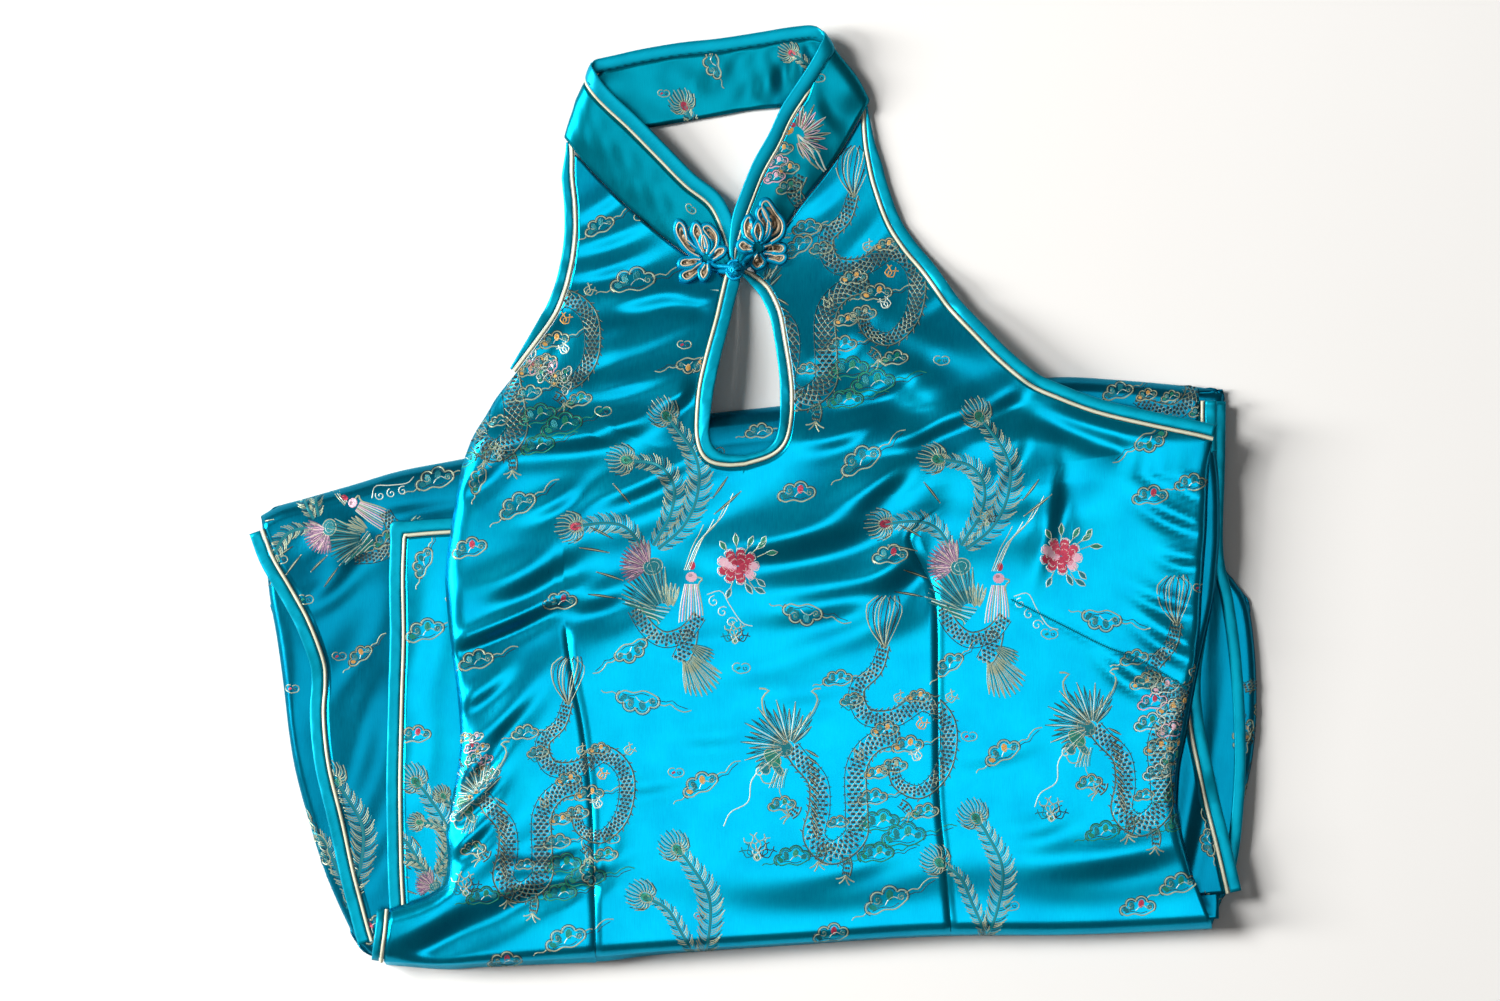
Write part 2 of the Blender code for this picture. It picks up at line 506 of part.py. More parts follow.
def make_bodice():
    """The bodice front, split at the keyhole and bound round its edges."""
    left_steps = np.array([0, 0.03, 0.09, 0.2, 0.34, 0.5, 0.65, 0.8, 0.92, 1])
    right_steps = np.array([0, 0.08, 0.16, 0.25, 0.35, 0.46, 0.57, 0.67, 0.77, 0.87, 0.95, 0.985, 1])
    waist_rows = np.array([0, 0.3, 0.6, 0.75, 0.86, 0.94, 0.98, 1])
    lower_rows = 12

    armhole_left = smooth_line(ARMHOLE_LEFT, 16)
    armhole_right = smooth_line(ARMHOLE_RIGHT, 20)
    left_border = np.vstack([moved_left(armhole_left, PIPING_CHANNEL), smooth_line(FOLD_LEFT_UPPER, 5)])
    right_border = np.vstack([moved_left(armhole_right, -PIPING_CHANNEL), plan(SIDE_SEAM[:1])])
    keyhole_left = smooth_line(KEYHOLE_LEFT, shares(left_border))
    keyhole_right = smooth_line(KEYHOLE_RIGHT, shares(right_border))
    inner_left = moved_left(keyhole_left, -PIPING_CHANNEL)
    inner_right = moved_left(keyhole_right, PIPING_CHANNEL)
    meeting = inner_left[-1]
    inner_right[-1] = meeting

    left_seam = moved_left(collar_foot[:FRONT_SECTIONS][::-1], -NECK_GAP)
    right_seam = moved_left(collar_foot[-FRONT_SECTIONS:][::-1], -NECK_GAP)
    neck_left = np.vstack([left_border[:1], left_seam[1:-1], inner_left[:1]])
    neck_right = np.vstack([inner_right[:1], right_seam[3:-1], right_border[:1]])
    left_row = smooth_line(
        np.vstack([left_border[-1], [-120, 8], [-70, -3], [-36, -7], [-18, 1], meeting]), left_steps,
    )
    right_row = smooth_line(
        np.vstack([meeting, [2, 1], [22, -7], [70, -4], [150, 8], right_border[-1]]), right_steps,
    )
    upper_left = patch(smooth_line(neck_left, left_steps), left_row, left_border, inner_left)
    upper_right = patch(smooth_line(neck_right, right_steps), right_row, inner_right, right_border)

    middle_row = np.vstack([left_row, right_row[1:]])
    low_row = smooth_line(
        np.array([[-180.5, -221], [-60, -216], [100, -210], [249.5, -217]]), shares(middle_row),
    )
    lower = patch(
        middle_row, low_row, smooth_line(FOLD_LEFT_LOWER, lower_rows), smooth_line(SIDE_SEAM, lower_rows),
    )

    waist_top = np.vstack([smooth_line(WAIST_SLIT_TOP, 4), low_row[1:]])
    slit = smooth_line(WAIST_SLIT, waist_rows)
    slit_edge = moved_left(slit, PIPING_CHANNEL)
    slit_edge[0] = waist_top[0]
    slit_edge[-1] = plan(WAIST_FOLD)[0]
    waist = patch(
        waist_top, smooth_line(WAIST_FOLD, shares(waist_top)), slit_edge,
        smooth_line(SIDE_SEAM_LOW, waist_rows),
    )
    grids = [np.dstack([grid, bodice_height(grid)]) for grid in (upper_left, upper_right, lower, waist)]
    cloth("bodice_front", grids, CLOTH_WALL, TURQUOISE)

    taper = np.interp(shares(armhole_left), [0, 0.1, 0.75, 1], [4.5, 6.5, 7.0, 3.0])
    trim("armhole_left", armhole_left, moved_left(armhole_left, -taper), bodice_height)
    trim("armhole_right", armhole_right, moved_left(armhole_right, BINDING_WIDTH), bodice_height)
    line = np.vstack([keyhole_left, keyhole_right[::-1][1:]])
    open_left = smooth_line(OPENING_LEFT, shares(left_border))
    open_right = smooth_line(OPENING_RIGHT, shares(right_border))
    trim("keyhole", line, np.vstack([open_left, open_right[::-1][1:]]), bodice_height)
    slit = smooth_line(WAIST_SLIT, 7)
    trim("waist_slit_left", slit, moved_left(slit, -0.7 * BINDING_WIDTH), bodice_height)


def make_bodice_back():
    """The bodice back, of which only a strip beside the right side seam shows."""
    hidden_x, top_y, low_y, rows = -150, 8, -225, 14
    edge = smooth_line(BACK_EDGE, rows)
    inner = np.column_stack([np.full(rows, hidden_x), np.linspace(top_y, low_y, rows)])
    top = smooth_line(np.vstack([inner[0], [60, 8], [200, 12], edge[0]]), 8)
    low = smooth_line(np.vstack([inner[-1], edge[-1]]), 8)
    back = patch(top, low, inner, edge)
    cloth("bodice_back", [np.dstack([back, back_height(back)])], CLOTH_WALL, TURQUOISE)


def make_collar():
    """The band from the neck seam up to its piping, and the binding over its top edge."""
    sections = np.array(COLLAR, float)
    foot, top = sections[:, :3], sections[:, 3:]
    way = top - foot
    width = np.linalg.norm(way, axis=1)[:, None]
    way /= width
    steps = np.diff(foot + 0.8 * width * way, axis=0)
    steps /= np.linalg.norm(steps, axis=1)[:, None]
    before, after = np.vstack([steps[:1], steps]), np.vstack([steps, steps[-1:]])
    along = (before + after) / np.linalg.norm(before + after, axis=1)[:, None]
    slant = np.maximum(np.linalg.norm(np.cross(way, along), axis=1), 0.5)[:, None]
    turn = 1 - (before * after).sum(axis=1)[:, None]
    turn = np.maximum(turn, (np.roll(turn, 1) + np.roll(turn, -1)) / 2)
    turn[:4] = 0
    turn[-4:] = 0
    channel = PIPING_CHANNEL / slant + TURN_EASE * np.minimum(turn, 0.6)
    seam = width - np.minimum(BINDING_WIDTH / slant, 0.36 * width)
    for name, start, end, wall, paint in (
        ("collar", 0 * width, seam - channel, COLLAR_WALL, TURQUOISE),
        ("collar_binding", seam + channel, width, BINDING_WALL, BINDING_BLUE),
    ):
        grid = np.stack([foot + way * start, foot + way * (start + end) / 2, foot + way * end], axis=1)
        cloth(name, [grid], wall, paint, 0.0)
    cord("collar_piping", foot + way * seam, COLLAR_PIPING_RADIUS, CREAM)


def surface_of(names):
    """The finished faces of some pieces, to lay others on."""
    graph = bpy.context.evaluated_depsgraph_get()
    verts, faces = [], []
    for name in names:
        mesh = bpy.data.objects[name].evaluated_get(graph).to_mesh()
        start = len(verts)
        verts += [vert.co / MM for vert in mesh.vertices]
        faces += [[start + k for k in face.vertices] for face in mesh.polygons]
    return BVHTree.FromPolygons(verts, faces)


def laid_on(surface, line, radius):
    """Heights for a cord along a plan line, clear of what lies under its whole width."""
    clear = radius + SEAM_GAP
    heights = []
    for x, y in line:
        level = 0.0
        for k in range(9):
            reach = 0 if k == 8 else clear
            angle = k * math.pi / 4
            start = Vector((x + reach * math.cos(angle), y + reach * math.sin(angle), 60))
            hit = surface.ray_cast(start, Vector((0, 0, -1)))[0]
            if hit:
                level = max(level, hit.z)
        heights.append(level + clear)
    return np.array(heights)


def flower(hub, petals):
    """The closed plan line of one cord bent into petals round a hub."""
    points = []
    narrow = FROG_CORD_RADIUS + SEAM_GAP
    for petal in petals:
        for t in np.linspace(0.04, 0.96, 10):
            along = FROG_HUB_RADIUS + (petal.reach - FROG_HUB_RADIUS) * math.sin(math.pi * t)
            across = narrow * math.cos(math.pi * t) + petal.width / 2 * math.sin(2 * math.pi * t) * 0.8
            angle = math.radians(petal.angle + petal.bend * (along / petal.reach) ** 2)
            points.append((
                hub.x + along * math.cos(angle) + across * math.sin(angle),
                hub.y + along * math.sin(angle) - across * math.cos(angle),
            ))
    return np.array(points)


def make_fastening():
    """Two flower frogs, the knotted ball with its strap, and the loop round it."""
    bpy.context.view_layer.update()
    ground = surface_of([
        "collar", "collar_binding", "collar_piping", "bodice_front", "keyhole_binding", "keyhole_piping",
    ])
    for name, hub, petals in (
        ("frog_left", LEFT_HUB, LEFT_PETALS), ("frog_right", RIGHT_HUB, RIGHT_PETALS),
    ):
        line = flower(hub, petals)
        level = laid_on(ground, line, FROG_CORD_RADIUS)
        level = np.maximum.reduce([level, np.roll(level, 1), np.roll(level, -1)])
        cord(name, np.column_stack([line, level]), FROG_CORD_RADIUS, BINDING_BLUE, closed=True)

    spot = np.array([[KNOT.x, KNOT.y]])
    level = laid_on(ground, spot, KNOT_RADIUS)[0]
    bm = bmesh.new()
    bmesh.ops.create_icosphere(bm, subdivisions=2, radius=KNOT_RADIUS * MM)
    knot = place("knot_button", mesh_from("knot_button", bm), BINDING_BLUE)
    knot.location = (KNOT.x * MM, KNOT.y * MM, level * MM)


for old in list(bpy.data.objects):
    bpy.data.objects.remove(old)
garment = bpy.data.collections.new("folded_halter_cheongsam")
bpy.context.scene.collection.children.link(garment)
make_folded_skirt()
make_skirt()
make_bodice()
make_bodice_back()
make_collar()
make_fastening()
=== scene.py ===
# Folded halter cheongsam in turquoise brocade, dressed for its photograph
import math

import bmesh
import bpy
import numpy as np
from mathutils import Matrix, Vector
from mathutils.bvhtree import BVHTree


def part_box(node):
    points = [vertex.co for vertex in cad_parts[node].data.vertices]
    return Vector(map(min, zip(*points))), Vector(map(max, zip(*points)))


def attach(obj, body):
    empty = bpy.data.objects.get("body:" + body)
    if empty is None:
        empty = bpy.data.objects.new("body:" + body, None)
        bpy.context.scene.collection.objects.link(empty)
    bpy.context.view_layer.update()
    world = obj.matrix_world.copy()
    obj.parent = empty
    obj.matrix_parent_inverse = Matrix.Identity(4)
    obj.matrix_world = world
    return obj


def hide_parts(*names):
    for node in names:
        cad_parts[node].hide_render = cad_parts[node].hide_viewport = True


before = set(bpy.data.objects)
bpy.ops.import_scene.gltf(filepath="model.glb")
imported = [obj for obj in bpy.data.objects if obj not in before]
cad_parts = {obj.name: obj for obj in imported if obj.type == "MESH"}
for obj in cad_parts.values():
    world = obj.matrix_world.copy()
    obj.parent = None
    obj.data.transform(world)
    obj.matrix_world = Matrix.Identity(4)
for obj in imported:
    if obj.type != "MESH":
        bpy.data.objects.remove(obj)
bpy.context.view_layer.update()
mm = 0.001
print("stage: frame loaded,", len(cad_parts), "nodes")

photo = {"middleX": 759, "middleY": 500, "scale": 0.575}  # the pixel at the origin, millimetres a pixel
view = {
    "centreX": -5.2, "centreY": -0.3, "frameWidth": 862.5, "lens": 85.0, "sensor": 36.0, "focusHeight": 14.0,
}
cloth = {"wall": 0.9, "gap": 1.45, "bindingWall": 2.0, "bindingWidth": 8, "pipingRadius": 1.15}
level = {"ledge": 4.0, "skirt": 10.8, "hem": 12.95, "back": 15.35, "bound": 2.15, "layer": 1.8, "edge": 0.6}


def atPhoto(x, y):  # a pixel of the photograph on the plan, in millimetres
    return (x - photo["middleX"]) * photo["scale"], (photo["middleY"] - y) * photo["scale"]


# plan outlines in millimetres, read from the photograph
topFold = [
    (-288, -9), (-278, -3.5), (-264, 0.5), (-236, 8.5), (-207, 17), (-168, 24.5), (-115, 36), (-69, 44),
    (-29, 50), (13, 54.5), (69, 61), (115, 66), (170, 71), (207, 69.5), (253, 65.5),
]
bundleLeft = [
    (-288, -11), (-286, -29), (-283, -57), (-279, -80), (-275, -109), (-272, -135), (-268, -158), (-261, -184),
    (-252, -213), (-241, -239), (-230, -259), (-217, -266),
]
bundleRight = [
    (253, 65.5), (266, 63), (269, 57), (268, 0), (267, -33), (276, -48), (283, -60), (287, -88), (288, -121),
    (286, -147), (282, -168), (276, -195), (271, -222), (261.5, -248),
]
slitLeft = [
    (-286, -17), (-280, -33), (-270, -50), (-259, -70), (-251, -92), (-250, -106), (-251, -124), (-248, -152),
    (-241, -181), (-234, -213), (-226, -244), (-223, -254),
]
slitRight = [
    (255.5, 57), (255.5, 40), (255.5, 0), (252, -60), (246.5, -100), (248, -129), (254.5, -161), (261.5, -190),
    (267, -213), (270, -226.5),
]
underSlitRight = [
    (261.5, 57), (261, 20), (260, -30), (266, -60), (271, -100), (273, -150), (270, -195), (265, -222),
]
hemSlit = [
    (-204.5, -238), (-206, -207), (-206.5, -161), (-205.5, -115), (-204.5, -80), (-205, -46), (-204, -20.5),
]
hemEdge = [(-204, -20.5), (-178, -18.5), (-110, -15.5), (-35, -12)]
armholeLeft = [
    (-108, 200), (-108, 187), (-106.5, 172.5), (-106, 158), (-107, 144), (-110, 128), (-114, 115),
    (-119, 104.5), (-126.5, 93.5), (-135, 82), (-141, 74),
]
armholeRight = [
    (60.5, 221), (61.5, 207), (63.5, 195), (66.5, 182), (74, 161), (83.5, 145.5), (95, 131.5), (109, 111.5),
    (123.5, 95.5), (138, 80.5), (155, 66.5), (172, 58.5), (195, 50), (224, 43), (250, 37.5), (260, 35),
]
keyholeLeft = [
    (-19, 128), (-22, 115), (-24.5, 104), (-30, 83.5), (-34, 65.5), (-35.5, 49.5), (-35.5, 37.5), (-33, 27.5),
    (-27.5, 22), (-18, 20), (-8, 20.5),
]
keyholeRight = [
    (-3.5, 130), (4, 124), (8.5, 117), (12.5, 107), (15, 93), (18, 73.5), (19, 57.5), (17.5, 41.5), (14, 31.5),
    (6, 25), (-8, 20.5),
]
openingLeft = [
    (-10.8, 127), (-14, 114), (-17, 101.5), (-21.5, 84), (-25, 68), (-27.5, 52), (-28.5, 41), (-27.5, 33.5),
    (-23.5, 28), (-17, 25.8), (-8, 25.5),
]
openingRight = [
    (-7.2, 127), (0, 118.5), (4, 111), (6.5, 104), (9, 91), (11.5, 72), (12, 57.5), (11.5, 43), (8.5, 33.5),
    (2, 28), (-8, 25.5),
]
foldLeftUpper = [(-146, 66), (-152, 58), (-157, 49), (-164.5, 36), (-170.5, 20)]
foldLeftLower = [
    (-170.5, 20), (-174, 0), (-177.5, -20), (-180, -43), (-179, -63), (-176.5, -86), (-173.5, -109),
    (-171.5, -135), (-173, -155), (-177, -175), (-179.5, -192), (-178.5, -208), (-180.5, -221),
]
waistSlitTop = [(-212, -234.5), (-199, -230.5), (-188, -226), (-180.5, -221)]
waistSlit = [(-213.5, -235), (-214, -245), (-215.5, -256), (-217, -265)]
sideSeam = [
    (258.5, 20), (257.5, 0), (257, -17), (254.5, -52), (253, -77), (250, -98), (246, -115), (242, -135),
    (239, -158), (239, -172), (243, -192), (249.5, -217),
]
sideSeamLow = [(249.5, -217), (256, -234), (261.5, -248)]
waistFold = [
    (-215.5, -269), (-184, -271.5), (-161, -270.5), (-126, -268), (-92, -265.5), (-23, -260.5), (23, -257.5),
    (100, -252.5), (172, -252), (224, -250), (261.5, -248),
]
backEdge = [
    (262.5, 28), (264.5, 11), (265, -17), (263, -46), (260.5, -63), (256.5, -80), (253, -97), (249.5, -115),
    (246, -135), (242.5, -152), (241, -170), (240, -200),
]
collarBand = [  # foot x y z, then top edge x y z, from one front end round the nape to the other
    (-18.5, 132, 2.4, -11.5, 139, 3.6), (-26.5, 134, 2.2, -12.5, 149.5, 4.4), (-36, 139, 2.1, -15, 161, 5.6),
    (-47, 146, 2.1, -23, 176, 7.2), (-60.5, 156.5, 2.1, -37.5, 187.5, 9.2), (-76, 170, 2.2, -53, 203, 11.0),
    (-92, 185.5, 2.7, -70, 220, 12.8), (-102, 196.5, 3.7, -82.5, 231.5, 14.0),
    (-108, 204, 4.8, -90.5, 240, 15.0), (-111, 208, 4.2, -94, 245.5, 14.6), (-112, 210, 2.9, -96, 249, 13.0),
    (-110.5, 212, 1.5, -96, 252, 11.2), (-105, 213, 0.9, -93.5, 253.5, 10.2),
    (-96, 213.5, 0.9, -89, 254.5, 9.8), (-85, 214, 0.9, -82, 256, 9.8), (-67.5, 215, 0.9, -69, 259, 9.4),
    (-46, 218.5, 0.9, -46, 263, 9.0), (-26, 222, 0.9, -23, 265.5, 9.0), (-6, 225.5, 0.9, 0, 269, 9.2),
    (15, 227.5, 0.9, 15, 271.5, 9.6), (34, 229.5, 0.9, 23, 272.5, 9.8), (47, 231, 0.9, 28.5, 273, 10.2),
    (56, 232.8, 0.9, 33, 272.3, 10.8), (61.5, 233, 1.7, 36, 270.2, 11.8), (63.5, 230.8, 3.2, 37.5, 266.5, 13.6),
    (61.5, 226.5, 4.8, 35, 260.5, 15.0), (57, 219, 4.0, 29.5, 250.5, 14.4), (48.5, 204, 2.9, 21.5, 238.5, 13.2),
    (38.5, 189, 2.1, 13, 225.5, 12.2), (26.5, 174, 2.1, 6, 210.5, 11.6), (16, 159.5, 2.4, -2.5, 195.5, 11.0),
    (7, 147.5, 3.2, -9, 180, 10.6), (-1.5, 140, 4.6, -14.5, 164.5, 10.0), (-8, 136, 6.0, -16.5, 149.5, 9.2),
    (-12.5, 133.5, 6.8, -16, 140, 8.6),
]


def smoothLine(points, steps):  # points along a smooth curve through the given ones
    points = np.array(points, float)
    if isinstance(steps, int):
        steps = np.linspace(0, 1, steps)
    ends = np.vstack([2 * points[0] - points[1], points, 2 * points[-1] - points[-2]])
    t = np.linspace(0, 1, 12, endpoint=False)[:, None]
    pieces = []
    for a, b, c, d in zip(ends, ends[1:], ends[2:], ends[3:]):
        bend = (2 * a - 5 * b + 4 * c - d) * t**2 + (3 * b - a - 3 * c + d) * t**3
        pieces.append(0.5 * (2 * b + (c - a) * t + bend))
    fine = np.vstack([*pieces, points[-1:]])
    run = shares(fine)
    return np.column_stack([np.interp(steps, run, fine[:, k]) for k in range(fine.shape[1])])


def shares(line):
    run = np.cumsum(np.linalg.norm(np.diff(line, axis=0), axis=1))
    return np.concatenate([[0], run / run[-1]])


def movedLeft(line, distance):  # a plan line moved to its left, with mitred corners
    step = np.diff(line, axis=0)
    step /= np.linalg.norm(step, axis=1)[:, None]
    normal = np.column_stack([-step[:, 1], step[:, 0]])
    before = np.vstack([normal[:1], normal])
    after = np.vstack([normal, normal[-1:]])
    mitre = (before + after) / (1 + (before * after).sum(axis=1))[:, None]
    return line + mitre * np.reshape(distance, (-1, 1))


def patch(top, bottom, left, right):  # plan points between four borders, top row first
    u = shares(top)[None, :, None]
    v = shares(left)[:, None, None]
    down = (1 - v) * top[None] + v * bottom[None]
    across = (1 - u) * left[:, None] + u * right[:, None]
    upper = (1 - v) * ((1 - u) * top[0] + u * top[-1])
    lower = v * ((1 - u) * bottom[0] + u * bottom[-1])
    return down + across - upper - lower


def distanceTo(line, xy):
    best = np.full(xy.shape[:-1], np.inf)
    for start, way in zip(line, np.diff(line, axis=0)):
        square = way @ way
        if square > 0:
            t = np.clip(((xy - start) @ way) / square, 0, 1)
            best = np.minimum(best, np.linalg.norm(xy - start - t[..., None] * way, axis=-1))
    return best


def smoothstep(t):
    t = np.clip(t, 0, 1)
    return t * t * (3 - 2 * t)


def rounded(distance, radius):
    t = np.clip(distance / radius, 0, 1)
    return np.sqrt(1 - (1 - t) ** 2)


# soft slopes of the cloth, each falling towards the lower right: photo x y, direction in degrees,
# length and half width in pixels, drop in millimetres
slope = {"gain": 3.1, "bow": 0.35, "fade": 0.8, "skirtShare": 0.8, "ledgeShare": 0.35, "hemShare": 0.55}
bodiceWaves = [
    (640, 303, 8, 110, 9, 1.0), (700, 303, 3, 50, 7, 0.9), (566, 395, 28, 80, 15, 1.2),
    (632, 390, 12, 100, 10, 0.8), (590, 441, 12, 130, 11, 1.5), (692, 398, 24, 70, 10, 1.3),
    (650, 487, 25, 120, 11, 1.4), (560, 505, 30, 60, 8, 0.8), (480, 480, 35, 70, 8, 0.8),
    (530, 583, 25, 90, 14, 1.7), (600, 604, 14, 70, 12, 1.2), (504, 629, 24, 120, 7, 1.8),
    (800, 547, 12, 140, 14, 1.7), (880, 492, 38, 90, 12, 1.3), (902, 578, 48, 90, 18, 2.1),
    (930, 434, 22, 120, 11, 1.5), (850, 590, 14, 120, 12, 1.2), (838, 628, 16, 130, 12, 0.5),
    (1054, 522, 82, 90, 9, 1.1), (1146, 470, -35, 50, 6, 0.6), (1172, 520, -25, 60, 6, 0.8),
    (1182, 562, -12, 40, 6, 0.7), (1192, 490, -32, 40, 5, 0.6), (1165, 605, -20, 60, 6, 0.7),
    (1172, 645, -30, 70, 7, 1.0), (1128, 676, -35, 60, 7, 0.8), (1002, 408, 35, 60, 10, 0.8),
    (1090, 432, -18, 110, 9, 1.0), (1122, 862, 10, 120, 12, 0.8), (1042, 832, 14, 60, 10, 0.4),
    (505, 902, 30, 120, 13, 1.5), (566, 884, 16, 90, 8, 1.0), (472, 842, 42, 60, 7, 1.2),
    (478, 802, 44, 60, 6, 1.0), (480, 766, 46, 60, 6, 1.0), (500, 730, 42, 90, 8, 0.9),
    (484, 696, 36, 60, 7, 0.7), (546, 858, 8, 60, 7, 0.7), (646, 790, 8, 70, 7, 0.22),
    (712, 742, 4, 70, 8, 0.22), (430, 936, 28, 90, 12, 1.1), (604, 206, 34, 60, 8, 0.8),
    (612, 240, 20, 80, 8, 0.9), (604, 272, 14, 80, 7, 0.8), (884, 392, 25, 70, 8, 0.7),
    (846, 440, 20, 70, 9, 0.8), (600, 860, 70, 90, 8, 0.5), (700, 650, 6, 80, 9, 0.25),
    (800, 700, 6, 90, 10, 0.25), (1000, 760, 12, 80, 10, 0.25), (860, 870, 16, 90, 10, 0.3),
    (940, 300, 40, 90, 10, 0.7), (640, 350, 22, 120, 10, 0.7), (1010, 470, 60, 60, 8, 0.7),
    (760, 660, 10, 110, 10, 0.25), (545, 345, 55, 70, 9, 0.7), (650, 250, 25, 150, 22, 1.0),
    (610, 335, 32, 160, 20, 1.2), (640, 440, 20, 220, 26, 1.5), (640, 530, 22, 220, 28, 1.6),
    (520, 620, 15, 140, 24, 1.5), (870, 530, 28, 200, 30, 1.7), (905, 395, -37, 160, 18, 1.0),
    (1020, 510, 10, 140, 22, 1.2), (470, 890, 38, 180, 22, 1.5), (1100, 885, 4, 220, 26, 1.2),
    (830, 895, 3, 240, 24, 1.0), (880, 300, 55, 120, 16, 0.7), (830, 360, 30, 90, 12, 0.7),
    (905, 340, -30, 90, 12, 0.7), (825, 200, 40, 60, 8, 0.5), (870, 240, 48, 70, 9, 0.6),
    (560, 425, 25, 120, 14, 1.0), (575, 300, 20, 90, 12, 0.8),
]
skirtWaves = [
    (340, 560, 30, 120, 16, 1.0), (352, 640, 62, 130, 22, 1.6), (300, 520, 20, 90, 10, 0.8),
    (420, 500, 8, 120, 9, 0.7), (430, 640, 80, 120, 12, 0.7), (368, 760, 75, 120, 14, 1.0),
    (1160, 400, -6, 80, 7, 1.2), (380, 850, 70, 80, 12, 0.8), (1216, 610, 84, 220, 8, 1.4),
    (1206, 770, 80, 260, 9, 1.6), (330, 590, 40, 60, 9, 0.7), (420, 760, 82, 90, 9, 0.5),
    (745, 436, 6, 80, 7, 0.6), (335, 600, 68, 260, 26, 1.6), (300, 480, 24, 120, 16, 0.9),
    (1130, 405, -4, 160, 12, 0.9),
]


def slopes(xy, table):
    total = np.zeros(xy.shape[:-1])
    for x, y, turn, length, half, drop in table:
        middleX, middleY = atPhoto(x, y)
        angle = math.radians(turn)
        dx, dy = xy[..., 0] - middleX, xy[..., 1] - middleY
        along = (dx * math.cos(angle) + dy * math.sin(angle)) / (photo["scale"] * 0.5 * length)
        across = (dx * math.sin(angle) - dy * math.cos(angle)) / (photo["scale"] * half)
        bow = across + slope["bow"] * along**2
        total -= slope["gain"] * drop * bow * np.exp(-0.5 * bow**2 - slope["fade"] * along**2)
    return total


topLine = smoothLine(topFold, 90)
waistLine = smoothLine(waistFold, 90)
sideLine = np.vstack([
    smoothLine(foldLeftUpper, 14), smoothLine(foldLeftLower, 40), np.array(waistSlitTop)[::-1],
])
seamLine = smoothLine(sideSeam, 40)
bundleLine = np.vstack([smoothLine(bundleLeft, 30)[::-1], smoothLine(bundleRight, 40)])
keyholeLine = np.array(keyholeLeft + keyholeRight[::-1])
sections = smoothLine(collarBand, 320)
collarFoot = np.array(collarBand)[:, :2]


def skirtHeight(xy):
    calm = smoothstep(distanceTo(topLine, xy) / 14) * smoothstep(distanceTo(bundleLine, xy) / 12)
    height = level["skirt"] + slope["skirtShare"] * calm * slopes(xy, skirtWaves)
    return np.maximum(height * rounded(distanceTo(topLine, xy), 9.0), level["edge"])


def underSlitHeight(xy):
    return level["ledge"] + level["bound"] + 0 * xy[..., 0]


def ledgeHeight(xy):
    away = distanceTo(bundleLine, xy)
    low = slope["ledgeShare"] * slopes(xy, skirtWaves) * smoothstep(away / 10)
    return np.maximum((level["ledge"] + 1.2 + low) * rounded(away, 5.0), level["edge"])


def hemHeight(xy):
    return level["hem"] + slope["hemShare"] * slopes(xy, skirtWaves) * smoothstep((-30 - xy[..., 1]) / 20)


bodice = {
    "puff": 4.5, "puffReach": 120, "restEase": 98, "lively": 0.55, "puffLively": 0.45,
    "leftRoll": 10, "rightRoll": 6, "waistRoll": 11,
}


def bodiceHeight(xy):
    pastFold = xy[..., 1] - np.interp(xy[..., 0], topLine[:, 0], topLine[:, 1])
    rest = level["skirt"] * smoothstep(1 - (pastFold + 10 * np.sin(xy[..., 0] / 33)) / bodice["restEase"])
    rest += (level["back"] - level["skirt"]) * smoothstep((56 - xy[..., 1]) / 24)
    left, right = distanceTo(sideLine, xy), distanceTo(seamLine, xy)
    puffShare = smoothstep((170 - xy[..., 1]) / bodice["puffReach"])
    puffShare = puffShare * rounded(left, bodice["leftRoll"]) * rounded(right, bodice["rightRoll"])
    calm = smoothstep(left / 7) * smoothstep(right / 6) * smoothstep(distanceTo(keyholeLine, xy) / 12)
    settle = (level["bound"] - level["layer"]) * smoothstep((20 - xy[..., 1]) / 30)
    height = rest + level["bound"] - settle + bodice["puff"] * puffShare
    height += calm * (bodice["lively"] + bodice["puffLively"] * puffShare) * slopes(xy, bodiceWaves)
    return np.maximum(height * rounded(distanceTo(waistLine, xy), bodice["waistRoll"]), level["edge"])


grainLook = {"depth": 300.0, "detail": 3.0, "patches": 42.0, "roughSpread": 0.05, "bumpDistance": 0.0002}


def nodeGroup(name, inputs, outputs):
    group = bpy.data.node_groups.new(name, "ShaderNodeTree")
    for label, kind, value in inputs:
        socket = group.interface.new_socket(label, in_out="INPUT", socket_type=kind)
        socket.default_value = value
    for label, kind in outputs:
        group.interface.new_socket(label, in_out="OUTPUT", socket_type=kind)
    return group, group.nodes.new("NodeGroupInput"), group.nodes.new("NodeGroupOutput")


def newNode(nodes, kind, values=(), operation=None):
    node = nodes.new(kind)
    if operation:
        node.operation = operation
    for label, value in values:
        node.inputs[label].default_value = value
    return node


def newRamp(nodes, dark, light, start=0.0, end=1.0):
    ramp = nodes.new("ShaderNodeValToRGB")
    first, last = ramp.color_ramp.elements
    first.position, last.position = start, end
    first.color, last.color = (*dark, 1), (*light, 1)
    return ramp


